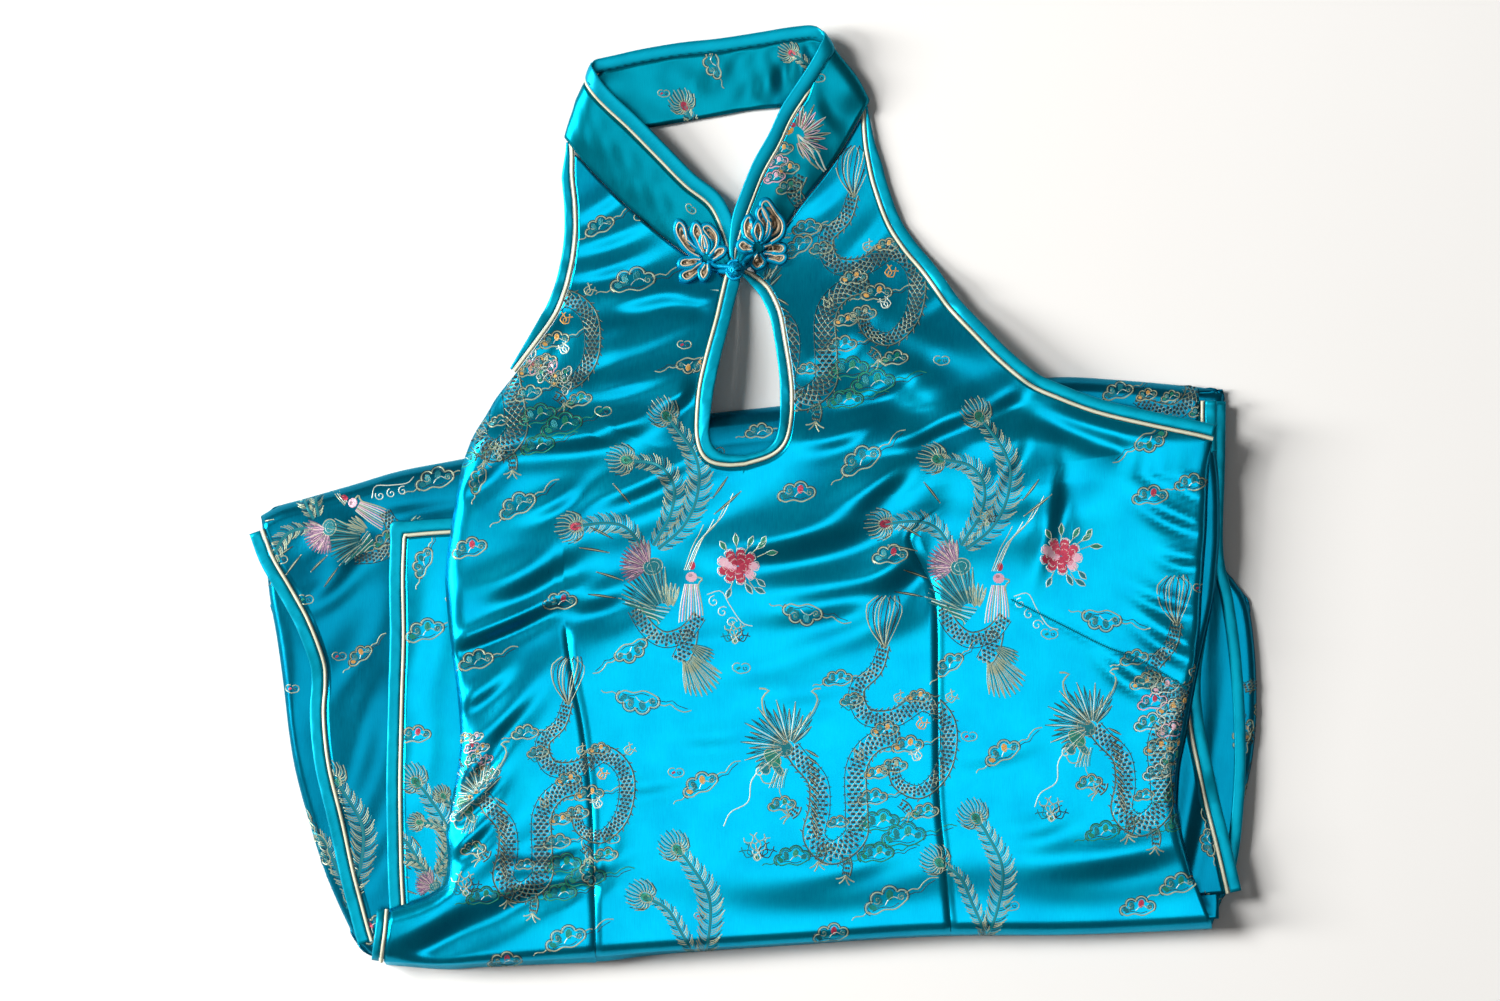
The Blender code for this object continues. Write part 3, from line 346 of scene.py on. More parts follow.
def satinWeaveGroup():  # long floating yarns with a faint cross grain, and soft uneven patches
    group, given, made = nodeGroup(
        "satinWeave",
        [
            ("Across", "NodeSocketFloat", 2600.0), ("Along", "NodeSocketFloat", 160.0),
            ("Turn", "NodeSocketFloat", 0.0),
        ],
        [("Yarn", "NodeSocketFloat"), ("Patches", "NodeSocketFloat")],
    )
    nodes, link = group.nodes, group.links.new
    place = nodes.new("ShaderNodeTexCoord")
    turned = nodes.new("ShaderNodeVectorRotate")
    turned.rotation_type = "Z_AXIS"
    link(place.outputs["Object"], turned.inputs["Vector"])
    link(given.outputs["Turn"], turned.inputs["Angle"])
    size = newNode(nodes, "ShaderNodeCombineXYZ", [("Z", grainLook["depth"])])
    link(given.outputs["Across"], size.inputs["X"])
    link(given.outputs["Along"], size.inputs["Y"])
    stretched = newNode(nodes, "ShaderNodeVectorMath", operation="MULTIPLY")
    link(turned.outputs[0], stretched.inputs[0])
    link(size.outputs[0], stretched.inputs[1])
    yarn = newNode(nodes, "ShaderNodeTexNoise", [("Scale", 1.0), ("Detail", grainLook["detail"])])
    link(stretched.outputs[0], yarn.inputs["Vector"])
    patches = newNode(
        nodes, "ShaderNodeTexNoise", [("Scale", grainLook["patches"]), ("Detail", grainLook["detail"])],
    )
    link(place.outputs["Object"], patches.inputs["Vector"])
    link(yarn.outputs["Fac"], made.inputs["Yarn"])
    link(patches.outputs["Fac"], made.inputs["Patches"])
    return group


def clothFinish(name, look, weave):
    finish = bpy.data.materials.new(name)
    finish.use_nodes = True
    nodes, link = finish.node_tree.nodes, finish.node_tree.links.new
    shader = nodes["Principled BSDF"]
    grain = nodes.new("ShaderNodeGroup")
    grain.node_tree = weave
    for label in ("Across", "Along", "Turn"):
        grain.inputs[label].default_value = look[label.lower()]
    ramp = newRamp(nodes, look["dark"], look["light"], 0.3, 0.7)
    mixed = newNode(nodes, "ShaderNodeMath", [(1, look["yarnShare"])], "MULTIPLY_ADD")
    link(grain.outputs["Yarn"], mixed.inputs[0])
    rest = newNode(nodes, "ShaderNodeMath", [(1, 1 - look["yarnShare"])], "MULTIPLY")
    link(grain.outputs["Patches"], rest.inputs[0])
    link(rest.outputs[0], mixed.inputs[2])
    link(mixed.outputs[0], ramp.inputs["Fac"])
    link(ramp.outputs["Color"], shader.inputs["Base Color"])
    low, high = look["rough"] - grainLook["roughSpread"], look["rough"] + grainLook["roughSpread"]
    rough = newNode(nodes, "ShaderNodeMapRange", [("To Min", low), ("To Max", high)])
    link(grain.outputs["Yarn"], rough.inputs["Value"])
    link(rough.outputs["Result"], shader.inputs["Roughness"])
    bump = newNode(
        nodes, "ShaderNodeBump", [("Strength", look["bump"]), ("Distance", grainLook["bumpDistance"])],
    )
    link(mixed.outputs[0], bump.inputs["Height"])
    link(bump.outputs["Normal"], shader.inputs["Normal"])
    shader.inputs["Metallic"].default_value = look["metal"]
    shader.inputs["Specular IOR Level"].default_value = look["specular"]
    shader.inputs["Specular Tint"].default_value = (*look["tint"], 1)
    return finish


satin = {
    "dark": (0.0, 0.23, 0.40), "light": (0.0, 0.335, 0.50), "rough": 0.30, "metal": 0.84, "specular": 0.4,
    "tint": (0.1, 0.85, 1.0), "bump": 0.25, "across": 2600.0, "along": 160.0, "turn": 0.0,
    "yarnShare": 0.45,
}
trimSatin = dict(
    satin, dark=(0.0, 0.24, 0.37), light=(0.0, 0.33, 0.47), rough=0.4, metal=0.45, turn=0.785, across=1900.0,
)
cordSatin = dict(satin, dark=(0.0, 0.20, 0.38), light=(0.0, 0.30, 0.52), rough=0.36, metal=0.4, turn=0.5)
piping = dict(
    satin, dark=(0.56, 0.56, 0.40), light=(0.74, 0.75, 0.60), rough=0.42, metal=0.15, tint=(1.0, 0.97, 0.85),
    turn=0.785, across=1400.0,
)
thread = dict(
    satin, rough=0.4, metal=0.35, tint=(1.0, 1.0, 0.9), bump=0.5, across=2400.0, along=900.0, turn=0.6,
)
threadColours = {
    "gold": ((0.21, 0.27, 0.18), (0.41, 0.46, 0.33)), "pale": ((0.42, 0.52, 0.46), (0.64, 0.74, 0.66)),
    "dark": ((0.004, 0.02, 0.03), (0.015, 0.045, 0.06)), "bronze": ((0.07, 0.11, 0.08), (0.19, 0.24, 0.16)),
    "teal": ((0.0, 0.13, 0.17), (0.0, 0.20, 0.24)), "green": ((0.0, 0.15, 0.10), (0.01, 0.25, 0.15)),
    "plum": ((0.09, 0.05, 0.11), (0.26, 0.16, 0.27)), "red": ((0.32, 0.012, 0.045), (0.50, 0.045, 0.10)),
    "pink": ((0.60, 0.30, 0.42), (0.78, 0.52, 0.60)), "orange": ((0.50, 0.24, 0.05), (0.70, 0.42, 0.12)),
}
weave = satinWeaveGroup()
brocadeCloth = clothFinish("turquoiseSatin", satin, weave)
# the same turquoise satin made darker as painted shade, for the skirt pieces, the folded heap and the back
# panel's strip
paintedShadeCloth = clothFinish("satinPaintedShade", dict(satin, dark=(0.0, 0.12, 0.21), light=(0.0, 0.175, 0.285)), weave)
# the same turquoise satin made darker for the collar, as painted shade
collarShadeCloth = clothFinish(
    "collarSatinPaintedShade", dict(satin, dark=(0.0, 0.16, 0.23), light=(0.0, 0.23, 0.32), rough=0.36), weave,
)
bindingCloth = clothFinish("bindingSatin", trimSatin, weave)
frogCloth = clothFinish("frogSatin", cordSatin, weave)
creamCord = clothFinish("creamPiping", piping, weave)
beigeCord = clothFinish("frogLining", dict(piping, dark=(0.46, 0.37, 0.24), light=(0.70, 0.61, 0.45)), weave)
stitchCotton = clothFinish(
    "stitchCotton", dict(trimSatin, dark=(0.0, 0.10, 0.16), light=(0.0, 0.16, 0.22), metal=0.1, rough=0.6),
    weave,
)
# brown pads inside the frog petals: a tan backing darkened as painted shade of the hollows
shadowCloth = clothFinish("frogHollowShade", dict(piping, dark=(0.20, 0.13, 0.08), light=(0.42, 0.32, 0.21)), weave)
threads = {
    name: clothFinish(name + "Thread", dict(thread, dark=dark, light=light), weave)
    for name, (dark, light) in threadColours.items()
}
print("stage: finishes mixed")


sheets = []  # what the brocade threads are laid on


def putPiece(name, data, finishes, nodes=()):
    piece = bpy.data.objects.new(name, data)
    bpy.context.scene.collection.objects.link(piece)
    for finish in finishes:
        data.materials.append(finish)
    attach(piece, "root")
    if nodes:
        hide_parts(*nodes)
    return piece


def meshOf(name, bm):
    mesh = bpy.data.meshes.new(name)
    bm.to_mesh(mesh)
    bm.free()
    mesh.shade_smooth()
    return mesh


def layGrid(bm, grid):  # a flat grid moved onto rows of points
    rows, columns = grid.shape[:2]
    made = bmesh.ops.create_grid(bm, x_segments=columns - 1, y_segments=rows - 1, size=1)
    for vert in made["verts"]:
        column = round((vert.co.x + 1) / 2 * (columns - 1))
        row = round((1 - vert.co.y) / 2 * (rows - 1))
        vert.co = grid[row, column] * mm
    return made["verts"]


def makeCloth(name, grids, finish, nodes=(), wall=cloth["wall"], offset=-1.0):
    bm = bmesh.new()
    for grid in grids:
        layGrid(bm, grid)
    bmesh.ops.remove_doubles(bm, verts=bm.verts, dist=0.05 * mm)
    if offset < 0 and sum(face.normal.z * face.calc_area() for face in bm.faces) < 0:
        bmesh.ops.reverse_faces(bm, faces=bm.faces)
    sum(face.calc_area() for face in bm.faces)
    piece = putPiece(name, meshOf(name, bm), [finish], nodes)
    thicken = piece.modifiers.new("wall", "SOLIDIFY")
    thicken.thickness = wall * mm
    thicken.offset = offset
    sheets.append(name)
    return piece


def makeCords(name, lines, radius, finish, nodes=(), closed=False):
    curve = bpy.data.curves.new(name, "CURVE")
    curve.dimensions = "3D"
    curve.bevel_depth = radius * mm
    curve.bevel_resolution = 3
    curve.use_fill_caps = not closed
    for line in lines:
        spline = curve.splines.new("POLY")
        spline.points.add(len(line) - 1)
        spline.use_cyclic_u = closed
        for point, (x, y, z) in zip(spline.points, np.array(line) * mm):
            point.co = (x, y, z, 1)
    return putPiece(name, curve, [finish], nodes)


def makeTrim(name, line, edge, height, nodes):  # a rounded binding with small puckers and its piping
    count = max(12, int(np.linalg.norm(np.diff(line, axis=0), axis=1).sum() / 2.2))
    line = smoothLine(line, shares(line) if len(line) > count else count)
    edge = smoothLine(edge, shares(edge) if len(edge) > count else count)
    way = edge - line
    width = np.linalg.norm(way, axis=1)[:, None]
    run = np.concatenate([[0], np.cumsum(np.linalg.norm(np.diff(line, axis=0), axis=1))])[:, None]
    pucker = 0.10 * np.sin(run / 1.9) + 0.08 * np.sin(run / 3.1 + 1) + 0.05 * np.sin(run / 0.9 + 2)
    rows = []
    for share in (0.0, 0.06, 0.18, 0.34, 0.5, 0.66, 0.82, 0.94, 1.0):
        spot = line + way * (cloth["gap"] + share * (width - cloth["gap"])) / width
        dome = 0.75 * math.sqrt(max(0, 1 - (2 * share - 1) ** 2)) - 0.35
        rise = height(line)[:, None] + (cloth["bindingWall"] - cloth["wall"]) / 2
        rise = rise + dome + pucker * 4 * share * (1 - share)
        rows.append(np.column_stack([spot, np.maximum(rise, cloth["bindingWall"] * 0.8)]))
    makeCloth(
        name + "Binding", [np.stack(rows, axis=1)], bindingCloth, nodes[:1],
        cloth["bindingWall"] * 0.75,
    )
    if len(nodes) > 1:
        middle = np.maximum(height(line) - 0.45, cloth["pipingRadius"])
        makeCords(
            name + "Piping", [np.column_stack([line, middle])], cloth["pipingRadius"], creamCord,
            nodes[1:],
        )


skirt = {"down": 130, "across": 190, "roll": (0, 0.15, 0.5, 1.1, 2.0, 3.2, 4.8, 6.8, 9.0), "rollReach": 10}


def makeSkirt():
    left = movedLeft(smoothLine(slitLeft, skirt["down"]), cloth["gap"])
    right = movedLeft(smoothLine(slitRight, skirt["down"]), -cloth["gap"])
    top = smoothLine(topFold, skirt["across"])
    left = np.vstack([top[:1], left[4:]])
    right = np.vstack([top[-1:], right[4:]])
    low = smoothLine(np.vstack([left[-1], [-150, -252], [40, -240], [200, -232], right[-1]]), shares(top))
    grid = patch(top, low, left, right)
    way = grid[3] - grid[0]
    way /= np.linalg.norm(way, axis=1)[:, None]
    roll = [grid[0] + way * distance for distance in skirt["roll"]]
    away = np.linalg.norm(grid - grid[0], axis=2).min(axis=1)
    grid = np.concatenate([roll, grid[away > skirt["rollReach"]]])
    makeCloth(
        "skirtFrontSheet", [np.dstack([grid, skirtHeight(grid)])], paintedShadeCloth, ["skirt_front"],
    )
    line = smoothLine(slitLeft, 110)
    makeTrim(
        "slitLeft", line, movedLeft(line, -cloth["bindingWidth"]), skirtHeight,
        ["slit_left_binding", "slit_left_piping"],
    )
    line = smoothLine(slitRight, 120)
    makeTrim(
        "slitRight", line, movedLeft(line, cloth["bindingWidth"]), skirtHeight,
        ["slit_right_binding", "slit_right_piping"],
    )
    line = smoothLine(underSlitRight, 110)
    makeTrim(
        "underSlit", line, movedLeft(line, cloth["bindingWidth"]), underSlitHeight,
        ["under_slit_right_binding"],
    )

    line = np.vstack([smoothLine(hemSlit, 90), smoothLine(hemEdge, 70)[1:]])
    panel = movedLeft(line, -cloth["gap"])
    left, top = panel[:90][::-1], panel[89:]
    corner = np.array([-35, -236])
    hem = patch(top, smoothLine([left[-1], corner], 70), left, smoothLine([top[-1], corner], 90))
    makeCloth("hemSheet", [np.dstack([hem, hemHeight(hem)])], brocadeCloth, ["skirt_back_hem"])
    makeTrim("hem", line, movedLeft(line, cloth["bindingWidth"]), hemHeight, ["hem_binding", "hem_piping"])


def makeFoldedLayers():  # the heap under the skirt front: strips that show, and grooved edges between layers
    for name, edge, inner, reach in (
        ("skirtBackLeft", bundleLeft, slitLeft, 14), ("skirtBackRight", bundleRight, slitRight, -14),
    ):
        outer = smoothLine(edge, 130)
        inside = movedLeft(smoothLine(inner, 130), reach)
        if reach > 0:
            inside[:, 0] = np.maximum(inside[:, 0], outer[:, 0] + 10)
        else:
            inside[:, 0] = np.minimum(inside[:, 0], outer[:, 0] - 10)
        inside[:, 1] = outer[:, 1]
        steps = (1 - np.cos(np.linspace(0, math.pi / 2, 22)))[:, None, None]
        grid = np.transpose(outer + (inside - outer) * steps, (1, 0, 2))
        makeCloth(name, [np.dstack([grid, ledgeHeight(grid)])], paintedShadeCloth)

    rings = [
        (0.0, 2.6, 0), (0.3, 1.2, 0), (0.9, 0.5, 0), (1.5, 1.4, 0), (1.7, 2.6, 0), (1.9, 1.4, 0), (2.6, 0.7, 0),
        (3.3, 1.4, 0), (3.5, 2.6, 0), (3.9, 5.5, 0), (4.0, 6.0, 1), (4.4, 5.0, 1), (5.2, 4.6, 1), (5.9, 5.4, 1),
        (6.1, 6.6, 1), (6.3, 5.4, 1), (7.1, 4.8, 1), (7.8, 5.4, 1), (7.9, 7.0, 1), (7.6, 9.0, 1),
        (6.6, 13.0, 1), (5.6, 19.0, 1),
    ]
    across, down = 60, 60
    bm = bmesh.new()
    loops = []
    for z, inset, upper in rings:
        leftEdge, rightEdge = (slitLeft, slitRight) if upper else (bundleLeft, bundleRight)
        left = movedLeft(smoothLine(leftEdge, down), inset)
        right = movedLeft(smoothLine(rightEdge, down), -inset)
        roll = 7.5 * (1 - math.sqrt(1 - (z / 9.3) ** 2))
        upperX = np.linspace(left[0, 0], right[0, 0], across)
        lowerX = np.linspace(left[-1, 0], right[-1, 0], across)
        top = np.column_stack([upperX, np.interp(upperX, *topLine.T) - 2.4 - roll - 0.5 * inset])
        low = np.column_stack([lowerX, np.interp(lowerX, *waistLine.T) + 4 + 0.5 * inset])
        left = left[(left[:, 1] < top[0, 1] - 2) & (left[:, 1] > low[0, 1] + 2)]
        right = right[(right[:, 1] < top[-1, 1] - 2) & (right[:, 1] > low[-1, 1] + 2)]
        left = smoothLine(np.vstack([top[:1], left, low[:1]]), down)
        right = smoothLine(np.vstack([top[-1:], right, low[-1:]]), down)
        outline = np.vstack([top, right[1:-1], low[::-1], left[1:-1][::-1]])
        wavy = 0.12 * np.sin(np.arange(len(outline)) / 3.7) * (0 < z < 8.5)
        made = bmesh.ops.create_circle(bm, segments=len(outline), radius=1)["verts"]
        for vert, (x, y), lift in zip(made, outline, wavy):
            vert.co = (x * mm, y * mm, (z + lift) * mm)
        loops.append([edge for edge in {e for v in made for e in v.link_edges}])
    for a, b in zip(loops, loops[1:]):
        bmesh.ops.bridge_loops(bm, edges=a + b)
    bmesh.ops.edgeloop_fill(bm, edges=loops[0])
    bmesh.ops.edgeloop_fill(bm, edges=loops[-1])
    bmesh.ops.recalc_face_normals(bm, faces=bm.faces)
    putPiece("skirtLayers", meshOf("skirtLayers", bm), [paintedShadeCloth], ["folded_skirt"])


darts = {  # seam lines in photo pixels, with the slope of cloth drawn into them in millimetres
    "left": {"line": [(564, 616), (573, 676), (583, 726), (591, 792), (594, 858), (596, 963)], "depth": 0.8},
    "right": {
        "line": [
            (896, 508), (918, 560), (931, 582), (936, 612), (937, 693), (938, 792), (944, 858), (951, 938),
        ],
        "depth": 0.9,
    },
    "bust": {"line": [(1010, 599), (1064, 626), (1104, 646), (1137, 659), (1190, 690)], "depth": 0.8},
}


def dartLine(name):
    return smoothLine([atPhoto(*spot) for spot in darts[name]["line"]], 60)


def withDart(grid, name):  # draws the nearest column of a grid onto a dart, and gives back that column to be sunk
    line = dartLine(name)[::-1]
    middleRow = grid.shape[0] // 2
    target = np.interp(grid[middleRow, :, 1].mean(), line[:, 1], line[:, 0])
    column = int(np.argmin(np.abs(grid[middleRow, :, 0] - target)))
    ease = smoothstep((grid[0, column, 1] - grid[:, column, 1]) / 26)
    shift = (np.interp(grid[:, column, 1], line[:, 1], line[:, 0]) - grid[:, column, 0]) * ease
    spread = np.exp(-(((grid[..., 0] - grid[:, column, None, 0]) / 26) ** 2))
    grid[..., 0] += shift[:, None] * spread
    for side, offset in ((-1, -0.55), (1, 0.55)):
        drawn = grid[:, column, 0] + offset
        grid[:, column + side, 0] += (drawn - grid[:, column + side, 0]) * ease
    return column


def makeBodice():
    leftSteps, rightSteps = np.linspace(0, 1, 62), np.linspace(0, 1, 98)
    waistRows = np.concatenate([np.linspace(0, 0.75, 16), 1 - 0.25 * (1 - np.linspace(0, 1, 12)[1:]) ** 2])
    lowerRows = 86
    leftBound = smoothLine(armholeLeft, 64)
    rightBound = smoothLine(armholeRight, 118)
    leftBorder = np.vstack([movedLeft(leftBound, cloth["gap"]), smoothLine(foldLeftUpper, 20)])
    rightBorder = np.vstack([movedLeft(rightBound, -cloth["gap"]), np.array(sideSeam[:1])])
    keyLeft = smoothLine(keyholeLeft, shares(leftBorder))
    keyRight = smoothLine(keyholeRight, shares(rightBorder))
    innerLeft = movedLeft(keyLeft, -cloth["gap"])
    innerRight = movedLeft(keyRight, cloth["gap"])
    meeting = innerLeft[-1]
    innerRight[-1] = meeting
    leftSeam = movedLeft(collarFoot[:9][::-1], -0.7)
    rightSeam = movedLeft(collarFoot[-9:][::-1], -0.7)
    neckLeft = np.vstack([leftBorder[:1], leftSeam[1:-1], innerLeft[:1]])
    neckRight = np.vstack([innerRight[:1], rightSeam[3:-1], rightBorder[:1]])
    leftRow = [leftBorder[-1], (-120, 8), (-70, -3), (-36, -7), (-18, 1), meeting]
    rightRow = [meeting, (2, 1), (22, -7), (70, -4), (150, 8), rightBorder[-1]]
    leftRow, rightRow = smoothLine(leftRow, leftSteps), smoothLine(rightRow, rightSteps)
    upperLeft = patch(smoothLine(neckLeft, leftSteps), leftRow, leftBorder, innerLeft)
    upperRight = patch(smoothLine(neckRight, rightSteps), rightRow, innerRight, rightBorder)
    middleRow = np.vstack([leftRow, rightRow[1:]])
    lowRow = smoothLine([(-180.5, -221), (-60, -216), (100, -210), (249.5, -217)], shares(middleRow))
    lower = patch(middleRow, lowRow, smoothLine(foldLeftLower, lowerRows), smoothLine(sideSeam, lowerRows))
    waistTop = np.vstack([smoothLine(waistSlitTop, 14), lowRow[1:]])
    slitLine = smoothLine(waistSlit, waistRows)
    slitEdge = movedLeft(slitLine, cloth["gap"])
    slitEdge[0] = waistTop[0]
    slitEdge[-1] = waistFold[0]
    waist = patch(
        waistTop, smoothLine(waistFold, shares(waistTop)), slitEdge, smoothLine(sideSeamLow, waistRows),
    )
    joined = np.concatenate([lower[:-1], waist[:, 13:]])
    join = len(lower) - 1
    sink = np.zeros(joined.shape[:2])
    for name in ("left", "right"):
        column = withDart(joined, name)
        ends = [spot[1] for spot in darts[name]["line"]]
        start = atPhoto(0, ends[0])[1]
        fade = smoothstep((start - joined[:, column, 1]) / 16)
        sink[:, column] -= darts[name]["depth"] * fade
        sink[:, column - 3 : column] += 0.12 * fade[:, None]
    waistFull = np.concatenate([waist[:, :13], joined[join:]], axis=1)
    sinkFull = np.concatenate([np.zeros((len(waist), 13)), sink[join:]], axis=1)
    lowerFull = joined[: join + 1]
    bust = dartLine("bust")

    def sewn(grid, extra=0.0):
        away = distanceTo(bust, grid)
        height = bodiceHeight(grid) + extra - darts["bust"]["depth"] * np.exp(-((away / 1.6) ** 2))
        return np.dstack([grid, np.maximum(height, level["edge"])])

    grids = [sewn(upperLeft), sewn(upperRight), sewn(lowerFull, sink[: join + 1]), sewn(waistFull, sinkFull)]
    makeCloth("bodiceSheet", grids, brocadeCloth, ["bodice_front"])

    leftTrim = smoothLine([(-108.6, 207)] + armholeLeft, 70)
    rightTrim = smoothLine([(60.2, 227.5)] + armholeRight, 124)
    seams = []
    for name, start in (("left", 2), ("right", 4), ("bust", 0)):
        line = dartLine(name)[start:-1]
        spacing = np.linspace(-0.2, 0.25, len(line)) if name == "bust" else -0.35
        seams.append(np.column_stack([line, bodiceHeight(line) + spacing - 0.15]))
    makeCords("dartSeams", seams, 0.34, stitchCotton)
    ticks = []
    bustSeam = smoothLine(dartLine("bust"), 96)
    for k in range(1, 95):
        way = bustSeam[k + 1] - bustSeam[k - 1]
        across = np.array([-way[1], way[0]]) / np.linalg.norm(way) * 1.1
        ends = np.array([bustSeam[k] - across, bustSeam[k] + across])
        ticks.append(np.column_stack([ends, bodiceHeight(ends) - 0.05]))
    makeCords("bustDartStitches", ticks, 0.17, stitchCotton)
    taper = np.interp(shares(leftTrim), [0, 0.14, 0.75, 1], [3.0, 6.2, 7.0, 3.0])
    widen = np.interp(shares(rightTrim), [0, 0.12, 1], [2.6, 7.6, 8.0])
    makeTrim(
        "armholeLeft", leftTrim, movedLeft(leftTrim, -taper), bodiceHeight,
        ["armhole_left_binding", "armhole_left_piping"],
    )
    makeTrim(
        "armholeRight", rightTrim, movedLeft(rightTrim, widen), bodiceHeight,
        ["armhole_right_binding", "armhole_right_piping"],
    )
    steps = np.linspace(0, 1, 90)
    left, right, leftEdge, rightEdge = (
        smoothLine([start] + border, steps) for start, border in (
            ((-17.6, 132.5), keyholeLeft), ((-9.5, 133.2), keyholeRight), ((-12.2, 131.5), openingLeft),
            ((-12.4, 131.5), openingRight),
        )
    )
    line = np.vstack([left, right[::-1][1:]])
    opening = np.vstack([leftEdge, rightEdge[::-1][1:]])
    makeTrim("keyhole", line, opening, bodiceHeight, ["keyhole_binding", "keyhole_piping"])
    slit = smoothLine(waistSlit, 16)
    makeTrim(
        "waistSlit", slit, movedLeft(slit, -5.6), bodiceHeight,
        ["waist_slit_left_binding", "waist_slit_left_piping"],
    )

    rows = 120
    edge = smoothLine(backEdge, rows)
    inner = np.column_stack([edge[:, 0] - 60, np.linspace(8, -225, rows)])
    grid = patch(smoothLine([inner[0], edge[0]], 24), smoothLine([inner[-1], edge[-1]], 24), inner, edge)
    roll = level["back"] + 0.2 - 2.0 * (1 - rounded(distanceTo(edge, grid), 2.5))
    # the back panel's strip wears the satin darkened as painted shade
    makeCloth(
        "bodiceBackSheet", [np.dstack([grid, roll + 0.2 * np.sin(grid[..., 1] / 5)])], paintedShadeCloth,
        ["bodice_back"],
    )


collar = {"wall": 1.2, "bindingWall": 2.0, "bindingWidth": 8.0, "piping": 0.9, "crown": 1.1}


def makeCollar():
    foot, top = sections[:, :3], sections[:, 3:]
    way = top - foot
    width = np.linalg.norm(way, axis=1)[:, None]
    way = way / width
    step = np.gradient(foot + 0.8 * width * way, axis=0)
    step /= np.linalg.norm(step, axis=1)[:, None]
    slant = np.maximum(np.linalg.norm(np.cross(way, step), axis=1), 0.5)[:, None]
    out = np.cross(step, way)
    out /= np.linalg.norm(out, axis=1)[:, None]
    binding = np.minimum(collar["bindingWidth"] / slant, 0.36 * width)
    binding = np.convolve(np.pad(binding[:, 0], 6, mode="edge"), np.ones(13) / 13, mode="valid")[:, None]
    seam = width - binding
    run = np.linspace(0, 1, len(foot))[:, None]
    nape = smoothstep((run - 0.325) / 0.03) * smoothstep((0.765 - run) / 0.03)
    rows, bound = [], []
    for share in np.linspace(0, 1, 15):
        across = foot[:, 0:1]
        lively = smoothstep((across + 78) / 60)
        wave = 1.2 * np.sin(across / 4.6 + 2.4 * share + 0.7 * np.sin(across / 11))
        wave += 0.7 * np.sin(across / 2.9 - 4 * share + 1) * share
        ripple = nape * lively * wave
        ripple += nape * (0.5 * np.sin(across / 9.0 + 5 * share) + 2.2 * np.exp(-(((across + 92) / 17) ** 2)))
        dimples = 0.3 * np.sin(run * 70 + 5 * share)
        dimples += 0.22 * np.sin(run * 163 - 9 * share) * np.sin(7 * share + run * 31)
        ripple += dimples * (1 - nape)
        crown = collar["crown"] * 4 * share * (1 - share) * (1 - nape) + ripple * math.sin(math.pi * share)
        reach = seam - 1.2 + 2.6 * nape
        rows.append(foot + way * share * reach + out * crown * np.sign(out[:, 2:3] + 1e-9))
    for share in (0, 0.08, 0.25, 0.45, 0.65, 0.85, 0.96, 1):
        dome = 0.6 * math.sqrt(max(0, 1 - (2 * share - 1) ** 2)) - 0.2
        reach = seam + 1.1 + share * (width - seam - 1.1)
        bound.append(foot + way * reach + out * dome * np.sign(out[:, 2:3] + 1e-9))
    makeCloth(
        "collarSheet", [np.stack(rows, axis=1)], collarShadeCloth, ["collar"], collar["wall"], 0.0,
    )
    makeCloth(
        "collarBinding", [np.stack(bound, axis=1)], bindingCloth, ["collar_binding"],
        collar["bindingWall"], 0.0,
    )
    line = foot + way * seam
    line[:, 2:3] += 0.35 - 1.5 * nape  # behind the nape the piping is on the far side
    stitches = []
    for k in range(96, 232, 4):  # the row of stitches that holds the nape binding
        ends = [foot[j] + way[j] * (seam[j] + 1.6) + [0, 0, 1.6] for j in (k, k + 1, k + 2)]
        near, far = (end * 0.75 + ends[1] * 0.25 for end in (ends[0], ends[2]))
        stitches.append(np.array([near, ends[1] + [0, 0, 0.12], far]))
    makeCords("napeStitches", stitches, 0.2, stitchCotton)
    makeCords("collarPiping", [line], collar["piping"], creamCord, ["collar_piping"])


makeSkirt()
makeFoldedLayers()
print("stage: skirt folded")
makeBodice()
print("stage: bodice laid")
makeCollar()
print("stage: collar set")


class Cover:  # what the camera sees from above, to lay frogs and threads on
    def __init__(self, names):
        graph = bpy.context.evaluated_depsgraph_get()
        verts, faces, self.owner = [], [], []
        for name in names:
            mesh = bpy.data.objects[name].evaluated_get(graph).to_mesh()
            start = len(verts)
            verts += [vert.co / mm for vert in mesh.vertices]
            faces += [[start + k for k in face.vertices] for face in mesh.polygons]
            self.owner += [name] * len(mesh.polygons)
        self.tree = BVHTree.FromPolygons(verts, faces)

    def at(self, x, y):
        hit = self.tree.ray_cast(Vector((x, y, 80)), Vector((0, 0, -1)))
        return (hit[0].z, self.owner[hit[2]]) if hit[0] else (0.0, "")


# flower frogs, their petals drawn in photo pixels
frogs = {
    "tube": 1.5, "edge": 0.5, "lift": 1.9, "strap": 1.45, "hollowShadeRadius": 1.2, "rim": 1.05,
    "knot": 3.5, "core": 3.3, "strand": 1.15, "loop": 1.1,
}
leftPetals = [
    [
        (700, 257), (690, 252), (681, 243), (675, 229), (678, 220), (684, 225), (687, 236), (694, 245),
        (703, 252),
    ],
    [(703, 253), (696, 241), (692, 231), (695, 222), (700, 226), (704, 236), (706, 248)],
    [(704, 254), (700, 244), (703, 233), (709, 243), (707, 253)],
    [(707, 253), (712, 243), (706, 233), (702, 226), (709, 224), (718, 234), (717, 246), (710, 255)],
    [(709, 256), (717, 247), (725, 247), (723, 254), (712, 260)],
    [(702, 258), (692, 257), (681, 259), (680, 265), (690, 266), (702, 262)],
    [(702, 261), (692, 267), (681, 274), (686, 280), (697, 274), (705, 264)],
    [(705, 262), (699, 271), (703, 279), (709, 272), (708, 262)],
]
